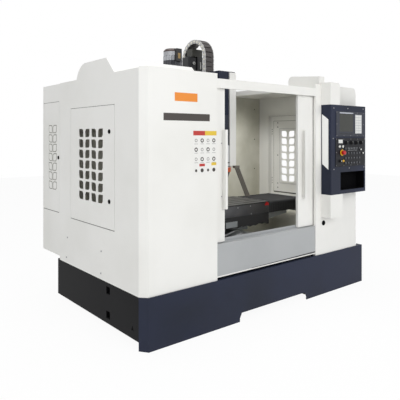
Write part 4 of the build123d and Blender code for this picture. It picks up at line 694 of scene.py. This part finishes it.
# %% Key fields
def keys_tree(name, material):
    tree, start = new_tree(name, Columns=4, Rows=4, PitchX=0.03, PitchZ=0.03, Cap=(0.02, 0.002, 0.02),
                           Centre=(0.0, 0.0, 0.0))
    fields = {}
    for label, count, pitch in (("wide", "Columns", "PitchX"), ("tall", "Rows", "PitchZ")):
        steps = add(tree, "ShaderNodeMath", {0: start.outputs[count], 1: 1.0}, operation="SUBTRACT")
        fields[label] = add(tree, "ShaderNodeMath", {0: steps, 1: start.outputs[pitch]},
                            operation="MULTIPLY")
    grid = add(tree, "GeometryNodeMeshGrid", {
        "Size X": fields["wide"], "Size Y": fields["tall"], "Vertices X": start.outputs["Columns"],
        "Vertices Y": start.outputs["Rows"]})
    upright = add(tree, "GeometryNodeTransform", {
        "Geometry": grid, "Rotation": (pi / 2, 0.0, 0.0), "Translation": start.outputs["Centre"]})
    cap = add(tree, "GeometryNodeMeshCube", {"Size": start.outputs["Cap"]})
    spread = add(tree, "GeometryNodeInstanceOnPoints", {"Points": upright, "Instance": cap})
    real = add(tree, "GeometryNodeRealizeInstances", {"Geometry": spread})
    paint = add(tree, "GeometryNodeSetMaterial", {"Geometry": real, "Material": material})
    add(tree, "NodeGroupOutput", {"Geometry": paint})
    return tree


def key_field(name, tree, centre, columns, rows, pitch, cap):
    base = mesh_object(name + "_base", [at(*centre)], [])
    with_tree(base, tree, Columns=columns, Rows=rows, PitchX=pitch[0] / 1000, PitchZ=pitch[1] / 1000,
              Cap=tuple(v / 1000 for v in cap), Centre=tuple(at(*centre)))
    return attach(baked(base, name), "machine")


white_keys = keys_tree("white_keys", white_laminate)
grey_keys = keys_tree("grey_keys", key_laminate)
key_marks = keys_tree("key_marks", plate_laminate)
KEY_FIELDS = [
    ("keypad_caps", white_keys, (1090.5, -108.9, 1600), 4, 7, (26.5, 25.5), (22, 1.0, 20)),
    ("function_caps", grey_keys, (995, -109.1, 1297), 6, 4, (46, 46), (29, 1.2, 23)),
    ("soft_key_caps", grey_keys, (894, -107.0, 1507), 7, 1, (32, 1), (24, 1.6, 12)),
    ("upper_key_marks", key_marks, (985, -111.3, 1359), 7, 2, (23, 20), (13, 0.6, 3)),
    ("lower_key_marks", key_marks, (995, -109.9, 1300), 6, 4, (46, 46), (7, 0.5, 2))]
for field in KEY_FIELDS:
    key_field(*field)
print("key caps:", sum(field[3] * field[4] for field in KEY_FIELDS if field[0].endswith("caps")))

# %% [markdown]
# Flat trim, such as the plate by the knobs, the white inlay on the operator box and the fields of the
# chart, is thin sheet glued on. The display's pale strip is made the same way but is a painted
# highlight along its top edge. A helper makes a thin slab from a polygon.

# %% Flat trim
def slab(name, corners, normal, thick, material, body):
    lift = Vector(normal) * thick / 1000
    base = [at(*c) for c in corners]
    points = base + [p + lift for p in base]
    n = len(base)
    around = [(i, (i + 1) % n, n + (i + 1) % n, n + i) for i in range(n)]
    piece = mesh_object(name, points, [tuple(reversed(range(n))), tuple(range(n, 2 * n))] + around, material)
    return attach(piece, body)


def front_plate(name, x0, x1, z0, z1, y, thick, material, body="machine"):
    return slab(name, [(x0, y, z0), (x1, y, z0), (x1, y, z1), (x0, y, z1)], (0, -1, 0), thick, material, body)


INLAY_CORNERS = [(658, -1, 1223), (658, -70, 1172), (658, -70, 1640), (658, 1, 1690)]
# The first plate is a painted highlight along the display's top edge.
trim = [front_plate("display_top_highlight", 784, 1005, 1699, 1709, -106, 1.0, display_highlight),
        front_plate("knob_plate", 762, 827, 1418, 1451, -109, 0.8, white_laminate),
        slab("white_inlay", INLAY_CORNERS, (-1, 0, 0), 0.6, inlay_film, "machine"),
        front_plate("keypad_plate", 1035, 1146, 1509, 1691, -108, 0.7, plate_laminate)]
print("trim plates:", len(trim))

# %% [markdown]
# A chart is stuck on the panel beside the doorway. Its fields are plain colours: two header bars and
# rows of simple shapes under them. Above it are an amber bar and a dark bar, as plain decoration.
# Each layer lies on the face of the one below: the panel, then the sheet, then a disc.

# %% Chart and bars on the front panel
amber_film, dark_film, red_film, yellow_film, grey_film, white_film = [
    moulded(f"{tone}_vinyl", code, roughness=0.4, bump=0.0) for tone, code in (
        ("amber", "#E2872A"), ("dark", "#3A3430"), ("red", "#B5332B"), ("yellow", "#D9B93A"),
        ("grey", "#8A8886"), ("white", "#E4E3DF"))]
PANEL_Y, SHEET_Y, DISC_Y = 10, 9.6, 9.3
BAR_THICK, SHEET_THICK, FILM_THICK, DOT_THICK = 0.5, 0.4, 0.3, 0.2
CHART_COLUMNS, CHART_ROWS, CHART_FOOT = [-855, -797, -739, -681], [1452, 1384, 1312], 1228
DISC_SIDES, DISC_RADII, DOT_RADIUS, FOOT_RADII = 20, (13, 16), 8, (11, 15)
RULE_HALF, RULE_DROP = 17, (27, 24)

front_plate("amber_bar", -1052, -842, 1738, 1800, PANEL_Y, BAR_THICK, amber_film)
front_plate("dark_bar", -1150, -722, 1597, 1650, PANEL_Y, BAR_THICK, dark_film)
front_plate("chart_sheet", -884, -652, 1198, 1528, PANEL_Y, SHEET_THICK, white_film)
front_plate("chart_red_header", -882, -769, 1490, 1524, SHEET_Y, FILM_THICK, red_film)
front_plate("chart_yellow_header", -769, -654, 1490, 1524, SHEET_Y, FILM_THICK, yellow_film)


def front_disc(name, x, z, radius, y, thick, material):
    rim = [(x + radius * cos(2 * pi * i / DISC_SIDES), y, z + radius * sin(2 * pi * i / DISC_SIDES))
           for i in range(DISC_SIDES)]
    return slab(name, rim, (0, -1, 0), thick, material, "machine")


for row, z in enumerate(CHART_ROWS):
    for column, x in enumerate(CHART_COLUMNS):
        solid = (row + column) % 2
        front_disc(f"chart_disc_{row}_{column}", x, z, DISC_RADII[solid], SHEET_Y, FILM_THICK,
                   dark_film if solid else grey_film)
        front_disc(f"chart_dot_{row}_{column}", x, z, DOT_RADIUS, DISC_Y, DOT_THICK, white_film)
        front_plate(f"chart_rule_{row}_{column}", x - RULE_HALF, x + RULE_HALF, z - RULE_DROP[0],
                    z - RULE_DROP[1], SHEET_Y, FILM_THICK, grey_film)
front_plate("chart_red_field", -824, -770, 1258, 1278, SHEET_Y, FILM_THICK, red_film)
front_plate("chart_yellow_field", -706, -656, 1262, 1284, SHEET_Y, FILM_THICK, yellow_film)
for column, x in enumerate(CHART_COLUMNS):
    front_disc(f"chart_foot_{column}", x, CHART_FOOT, FOOT_RADII[column % 2], SHEET_Y, FILM_THICK, dark_film)
print("chart cells:", len(CHART_ROWS) * len(CHART_COLUMNS))

# %% [markdown]
# Dark strips along the top and bottom edges of the doors in the side walls are painted seam shadow.

# %% Painted shadow in the door seams
SHADE_PROUD, SHADE_THICK, TOP_SHADE, FOOT_SHADE = 0.3, 0.4, 3, 5


def seam_shade_strip(name, node, side, low_edge, wide):
    _, (y0, y1), (z0, z1) = drawn_box(node)
    x = LEFT - SHADE_PROUD if side < 0 else RIGHT + SHADE_PROUD
    z = z0 - wide if low_edge else z1
    corners = [(x, y1, z), (x, y0, z), (x, y0, z + wide), (x, y1, z + wide)]
    return slab(name, corners if side < 0 else corners[::-1], (side, 0, 0), SHADE_THICK, seam_shade,
                "machine")


# Each strip is painted shadow in a door seam.
seam_shades = []
for node, side in (("side_door_left", -1), ("side_door_right", 1), ("cabinet_door", -1)):
    seam_shades.append(seam_shade_strip(node + "_top_seam_shade", node, side, False, TOP_SHADE))
    seam_shades.append(seam_shade_strip(node + "_foot_seam_shade", node, side, True, FOOT_SHADE))
print("door seals:", len(seam_shades))

# %% [markdown]
# The inside of the station's pocket gets thin black sheets of painted shade. Two small switches on
# dark collars sit among its keys; the white disc on each is a painted glint. A white dot marks the
# selector.

# %% Painted shade in the pocket, and switches with painted glints
(station_x0, station_x1), (station_y0, _), _ = drawn_box("operator_box")
POCKET_LOW, POCKET_HIGH, POCKET_DEEP, POCKET_SHADE_SHEET = 973.0, 1143.0, 92.0, 1.5
POCKET_MARGINS, SHADE_SETBACK = (148, 24), 3
pocket_x0, pocket_x1 = station_x0 + POCKET_MARGINS[0], station_x1 - POCKET_MARGINS[1]
pocket_back, shade_deep = station_y0 + POCKET_DEEP, POCKET_DEEP - SHADE_SETBACK
# Black sheets of painted shade line the pocket's back, sides, floor and roof.
front_plate("pocket_back", pocket_x0, pocket_x1, POCKET_LOW, POCKET_HIGH, pocket_back, POCKET_SHADE_SHEET, pocket_shade)
for name, x in (("near", pocket_x0), ("far", pocket_x1 - POCKET_SHADE_SHEET)):
    front_plate("pocket_side_" + name, x, x + POCKET_SHADE_SHEET, POCKET_LOW, POCKET_HIGH, pocket_back, shade_deep,
                pocket_shade)
for name, z in (("floor", POCKET_LOW), ("roof", POCKET_HIGH - POCKET_SHADE_SHEET)):
    front_plate("pocket_" + name, pocket_x0, pocket_x1, z, z + POCKET_SHADE_SHEET, pocket_back, shade_deep,
                pocket_shade)
COLLAR_Y, COLLAR_THICK, COLLAR_RADIUS, GLINT_RADIUS, GLINT_LONG = -111, 1.5, 12, 7, 6
# The white disc on each switch is a painted glint.
for number, (x, z) in enumerate(((1128, 1352), (1163, 1315)), 1):
    front_disc(f"toggle_collar_{number}", x, z, COLLAR_RADIUS, COLLAR_Y, COLLAR_THICK, black_abs)
    front_disc(f"toggle_{number}", x - 2, z + 3, GLINT_RADIUS, COLLAR_Y - COLLAR_THICK, GLINT_LONG,
               white_abs)
front_disc("selector_mark", 792, 1251, 6, drawn_box("mode_selector")[1][0], 0.5, white_abs)
print("pocket:", round(pocket_x0), round(pocket_x1))

# %% [markdown]
# A pale strip along the apron's foot is a painted highlight on the lit edge of the skirt's top flange,
# and a dark strip over part of it, widening to the right, is painted shadow in the slot there.

# %% Painted highlight and shadow at the apron's foot
STRIP_GAP, STRIP_BELOW, STRIP_ABOVE, HIGHLIGHT_THICK = 2, 4, 5, 3
SHADOW_START, SHADOW_THICK = 380, 0.5
_, (apron_face, _), (apron_foot, _) = drawn_box("front_apron")
foot_x0, foot_x1 = drawn_box("front_panel_left")[0][1], drawn_box("front_panel_right")[0][0]
shadow_x0, shadow_x1 = foot_x0 + SHADOW_START, foot_x1 - STRIP_GAP
# A pale strip of painted highlight, then a dark strip of painted shadow over it.
front_plate("apron_foot_highlight", foot_x0 + STRIP_GAP, foot_x1 - STRIP_GAP, apron_foot - STRIP_BELOW,
            apron_foot + STRIP_ABOVE, apron_face, HIGHLIGHT_THICK, cream_coat)
slot_shadow = [(shadow_x0, STRIP_ABOVE), (shadow_x1, STRIP_ABOVE), (shadow_x1, 17), (shadow_x0, 8)]
slab("apron_slot_shadow", [(x, apron_face, apron_foot + up) for x, up in slot_shadow], (0, -1, 0), SHADOW_THICK,
     black_abs, "machine")
print("apron lip from", round(foot_x0), "to", round(foot_x1))

# %% [markdown]
# The cabinet door has two columns of leaf shapes pressed into its sheet, in the pattern of the pierced
# vents beside it. Each is a thin leaf with two opposite corners rounded; its rim is darker with painted
# shade, and the field inside it keeps the door's cream.

# %% Pressed leaves on the cabinet door
LEAF_WIDE, LEAF_HIGH, LEAF_ROUND = 82.0, 74.0, 27.0
LEAF_Y, LEAF_Z0, LEAF_PITCH, LEAF_ROWS = (1498.0, 1593.0), 1030.0, 86.5, 7
LEAF_STEPS, RIM_WIDE, RIM_THICK, FIELD_THICK = 5, 7, 0.5, 1.0


def leaf_rim(y, z, inset, flip):
    half_y, half_z, turn = LEAF_WIDE / 2 - inset, LEAF_HIGH / 2 - inset, LEAF_ROUND - inset / 2
    angles = [pi / 2 * i / LEAF_STEPS for i in range(LEAF_STEPS + 1)]
    arc = [(half_y - turn + turn * sin(a), half_z - turn + turn * cos(a)) for a in angles]
    rim = arc + [(half_y, -half_z)] + [(-a, -b) for a, b in arc] + [(-half_y, half_z)]
    return [(y + (-a if flip else a), z + b) for a, b in (rim[::-1] if flip else rim)]


def leaf_field(name, inset, thick, material):
    points, faces = [], []
    for column, y in enumerate(LEAF_Y):
        for row in range(LEAF_ROWS):
            rim = leaf_rim(y, LEAF_Z0 + LEAF_PITCH * row, inset, column % 2)
            first, n = len(points), len(rim)
            points += [at(LEFT, a, b) for a, b in rim] + [at(LEFT - thick, a, b) for a, b in rim]
            faces.append(tuple(range(first + n, first + 2 * n)))
            faces += [(first + i, first + (i + 1) % n, first + n + (i + 1) % n, first + n + i)
                      for i in range(n)]
    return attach(mesh_object(name, points, faces, material), "cabinet_access_door")


# The darker rims are painted shade on the pressed edges.
leaf_field("cabinet_leaf_rim_shade", 0, RIM_THICK, fold_shade)
leaf_field("cabinet_leaf_fields", RIM_WIDE, FIELD_THICK, cream_coat)
print("pressed leaves:", len(LEAF_Y) * LEAF_ROWS)

# %% [markdown]
# Above the roof, the changer's motor has a terminal box with a tan plate, and the servo of the head has
# its own box with a cable duct, a round pale plug and a pale strip, which show through the chain's arch.

# %% Terminal boxes above the roof
(_, motor_x1), (motor_y0, _), (_, motor_top) = drawn_box("changer_motor")
(servo_x0, servo_x1), (servo_y0, _), (_, servo_top) = drawn_box("z_drive")
MOTOR_BOX_DEEP, SERVO_BOX_DEEP, PLUG_LONG = 82, 90, 5
motor_face, motor_back = motor_y0 - 22, motor_y0 + 60
servo_face, servo_back = servo_y0 - 8, servo_y0 + 82
plug_x, plug_z, plug_y = servo_x0 + 77, servo_top - 70, servo_y0 - PLUG_LONG
above_roof = [
    front_plate("motor_terminal_box", motor_x1 - 128, motor_x1 - 66, motor_top - 125, motor_top - 6,
                motor_back, MOTOR_BOX_DEEP, black_abs),
    front_plate("motor_terminal_plate", motor_x1 - 112, motor_x1 - 84, motor_top - 100, motor_top - 50,
                motor_face, 1.5, tan_plate),
    front_plate("servo_terminal_box", servo_x0 + 51, servo_x1 + 62, servo_top - 4, servo_top + 72,
                servo_back, SERVO_BOX_DEEP, olive_enamel),
    front_plate("servo_cable_duct", servo_x1 - 2, servo_x1 + 66, servo_top - 190, servo_top - 4,
                servo_back, SERVO_BOX_DEEP, black_abs),
    front_disc("servo_plug_ring", plug_x, plug_z, 15, servo_y0, PLUG_LONG, white_abs),
    front_disc("servo_plug_bore", plug_x, plug_z, 9, plug_y, 0.5, black_abs),
    front_plate("servo_plug_strip", servo_x1 + 34, servo_x1 + 43, servo_top - 126, servo_top - 55,
                servo_face, 3, white_abs)]
print("pieces above the roof:", len(above_roof), "tops:", round(motor_top), round(servo_top))

# %% [markdown]
# Seen through the doorway, the right service door has a folded frame round its vents, a rebate round
# that frame drawn as grey strips of painted shade, a fold along its edge drawn as dark strips of
# painted shade, and columns of fixings and hinge pins. Each frame is four thin strips on the door, so
# it swings with it. The rear wall has a column of dark screws.

# %% Right service door from inside
def frame_strips(name, y0, y1, z0, z1, wide, x, thick, material, body):
    sides = {"low": (y0, y1, z0, z0 + wide), "high": (y0, y1, z1 - wide, z1),
             "near": (y0, y0 + wide, z0 + wide, z1 - wide), "far": (y1 - wide, y1, z0 + wide, z1 - wide)}
    for side, (a, b, c, d) in sides.items():
        corners = [(x, b, c), (x, a, c), (x, a, d), (x, b, d)]
        slab(f"{name}_{side}", corners, (-1, 0, 0), thick, material, body)


DOOR_SKIN, FOLD_THICK = RIGHT - 2.0, 0.6
FOOT_FOLD = [(1112, 822), (440, 822), (440, 832), (1112, 832)]
frame_strips("right_vent_frame", 562, 1008, 946, 1560, 11, DOOR_SKIN, 7, cream_coat, "right_service_door")
# Grey strips of painted shade in the rebate.
frame_strips("right_vent_rebate_shade", 548, 1022, 932, 1574, 3, DOOR_SKIN, 1.5, apron_coat, "right_service_door")
heads("right_door_fixings", black_heads, "right_service_door",
      [(DOOR_SKIN - 1, 1050, z) for z in (1640, 1590, 1260, 930, 880)], TO_LEFT, 6, 3)
heads("right_door_hinge_pins", black_heads, "right_service_door",
      [(DOOR_SKIN - 1, 1138, z) for z in (1563, 1536, 1509, 988, 958, 928)], TO_LEFT, 4.5, 3)
# Dark strips of painted shade along the door's fold and its foot.
frame_strips("right_door_fold_shade", 435, 1116, 832, 1664, 4, DOOR_SKIN, FOLD_THICK, fold_shade,
             "right_service_door")
slab("right_door_foot_fold_shade", [(DOOR_SKIN, y, z) for y, z in FOOT_FOLD], (-1, 0, 0), FOLD_THICK,
     seam_shade, "right_service_door")
rear_face = drawn_box("rear_walls")[1][0]
heads("rear_wall_screws", black_heads, "machine",
      [(1135, rear_face - 1, z) for z in (1806, 1445, 1089)], TO_FRONT, 6.5, 3)
print("door skin, drawing mm:", round(DOOR_SKIN), "rear wall's face:", round(rear_face))

# %% [markdown]
# The table's front carries a black strip along its edge, three pale screws, a red clip and a rubber
# apron whose foot is wavy. A guard plate with one bolt lies on the apron.

# %% Front of the table
CLIP_CORNERS = [(348, 814), (408, 812), (402, 832), (374, 848)]
APRON_LEFT, APRON_MARGINS, SHEET_MM = 60, 70, 4
SWELL, SWELL_MM, RIPPLE, RIPPLE_MM = 5, 37, 4, 13
(table_x0, table_x1), (table_front, _), (table_low, table_high) = drawn_box("work_table")
apron_y = table_front - 1.5
heads("table_front_screws", screw_heads, "table",
      [(-10, apron_y, 822), (153, apron_y, 824), (165, apron_y, 750)], TO_FRONT, 6, 3)
front_plate("table_edge_strip", table_x0, table_x1, table_high - 11, table_high - 0.5, table_front, 1.2,
            black_abs, "table")

APRON_TOP_Z, APRON_FOOT_Z, APRON_POINTS = table_low + 12, 640.0, 41
apron_x0, apron_long = table_x0 + APRON_LEFT, table_x1 - table_x0 - APRON_MARGINS
apron_x = [apron_x0 + apron_long * i / (APRON_POINTS - 1) for i in range(APRON_POINTS)]
apron_edge = [(x, apron_y, APRON_FOOT_Z + SWELL * sin(x / SWELL_MM) + RIPPLE * sin(x / RIPPLE_MM))
              for x in apron_x]
apron_top = [(apron_x[-1], apron_y, APRON_TOP_Z), (apron_x[0], apron_y, APRON_TOP_Z)]
slab("table_red_clip", [(x, table_front, z) for x, z in CLIP_CORNERS], (0, -1, 0), SHEET_MM, red_abs, "table")
slab("table_apron", apron_top + apron_edge, (0, -1, 0), SHEET_MM, bellows_fabric, "table")
front_plate("apron_guard", -165, -22, 650, 702, table_front - 5.5, 3, grey_casting, "table")
heads("apron_guard_bolt", screw_heads, "table", [(-36, table_front - 10, 690)], TO_FRONT, 6, 3)
print("apron lowest point, drawing mm:", round(min(z for _, _, z in apron_edge), 1))

# %% [markdown]
# The emergency stop has a yellow collar behind its red head, and each knob has a white pointer line.
# The collar is a flat ring of quads; the pointers are thin slabs that turn with their knobs.

# %% Stop collar and knob pointers
def flat_ring(name, x, z, y0, y1, inner, outer, material, body, sides=36):
    points, faces = [], []
    for i in range(sides):
        a = 2 * pi * i / sides
        for radius, y in ((inner, y0), (outer, y0), (outer, y1), (inner, y1)):
            points.append(at(x + radius * cos(a), y, z + radius * sin(a)))
    for i in range(sides):
        j = (i + 1) % sides
        for k in range(4):
            faces.append((4 * i + k, 4 * i + (k + 1) % 4, 4 * j + (k + 1) % 4, 4 * j + k))
    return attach(mesh_object(name, points, faces, material), body)


KNOB_X, KNOB_FACE_Y, POINTER_THICK = (882, 968, 1051, 1134), -129, 0.4
flat_ring("stop_collar", 817, 1329, -111, -111.8, 9, 30, yellow_abs, "machine")
for number, x in enumerate(KNOB_X, 1):
    front_plate(f"knob_pointer_{number}", x - 1, x + 1, 1426, 1438, KNOB_FACE_Y, POINTER_THICK, white_abs,
                f"knob_{number}")
print("pointers:", len(KNOB_X))

# %% [markdown]
# The stage is a wide pale floor under plain studio light. The floor and the world show the camera,
# reflections and glass a white surround, while the light on the machine comes from four soft lamps.

# %% Floor and world
FLOOR_HALF, FLOOR_Z, GLOW_SHARE, WORLD_STRENGTH = 14, -0.001, 0.94, 0.55


def white_for_seen_rays(tree):
    path = add(tree, "ShaderNodeLightPath")
    seen = add(tree, "ShaderNodeMath", {0: path.outputs["Is Camera Ray"], 1: path.outputs["Is Glossy Ray"]},
               operation="MAXIMUM")
    return add(tree, "ShaderNodeMath", {0: seen, 1: path.outputs["Is Transmission Ray"]},
               operation="MAXIMUM").outputs[0]


floor_paint, tree = new_material("pale_studio_floor")
matt = add(tree, "ShaderNodeBsdfDiffuse", {"Color": srgb("#F4F4F3")})
glow = add(tree, "ShaderNodeEmission", {"Color": srgb("#FFFFFF"), "Strength": 1.0})
share = add(tree, "ShaderNodeMath", {0: white_for_seen_rays(tree), 1: GLOW_SHARE}, operation="MULTIPLY")
mixed = add(tree, "ShaderNodeMixShader", {0: share, 1: matt, 2: glow})
finish_material(floor_paint, tree, mixed)
floor_corners = [(FLOOR_HALF * x, FLOOR_HALF * y, FLOOR_Z) for x, y in ((-1, -1), (1, -1), (1, 1), (-1, 1))]
floor = mesh_object("floor", floor_corners, [(0, 1, 2, 3)], floor_paint)

world = bpy.data.worlds.new("studio")
bpy.context.scene.world = world
world.use_nodes = True
world.node_tree.nodes.clear()
tree = world.node_tree
soft = add(tree, "ShaderNodeBackground", {"Color": srgb("#F2F4F7"), "Strength": WORLD_STRENGTH})
white = add(tree, "ShaderNodeBackground", {"Color": srgb("#FFFFFF"), "Strength": 1.0})
either = add(tree, "ShaderNodeMixShader", {0: white_for_seen_rays(tree), 1: soft, 2: white})
add(tree, "ShaderNodeOutputWorld", {"Surface": either})
print("floor half width, m:", FLOOR_HALF, "world:", world.name)

# %% [markdown]
# A large lamp in front of the machine gives the bright front, a weaker one lights the left wall, one
# overhead lifts the roof, and a small one inside the cabin stands for the work light.

# %% Lamps
def lamp(name, place, target, size, power, spread=180):
    data = bpy.data.lights.new(name, "AREA")
    data.size = size
    data.energy = power
    data.spread = radians(spread)
    light = bpy.data.objects.new(name, data)
    light.location = place
    light.rotation_euler = (Vector(target) - Vector(place)).to_track_quat("-Z", "Y").to_euler()
    bpy.context.scene.collection.objects.link(light)
    return light


lamps = [lamp("front_lamp", (-0.2, -6.6, 3.6), (0, 0, 1.1), 4.0, 178),
         lamp("left_lamp", (-6.5, -2.5, 3.2), (0, 0, 1.1), 3.5, 85),
         lamp("top_lamp", (-0.6, 0.5, 6.5), (0, 0, 1.0), 4.0, 130),
         lamp("cabin_lamp", (0.45, 0.05, 1.87), (0.45, 0.35, 0.7), 0.5, 7, spread=135)]
bpy.context.scene.view_settings.view_transform = "Standard"
print("lamps:", len(lamps), "watts:", sum(light.data.energy for light in lamps))
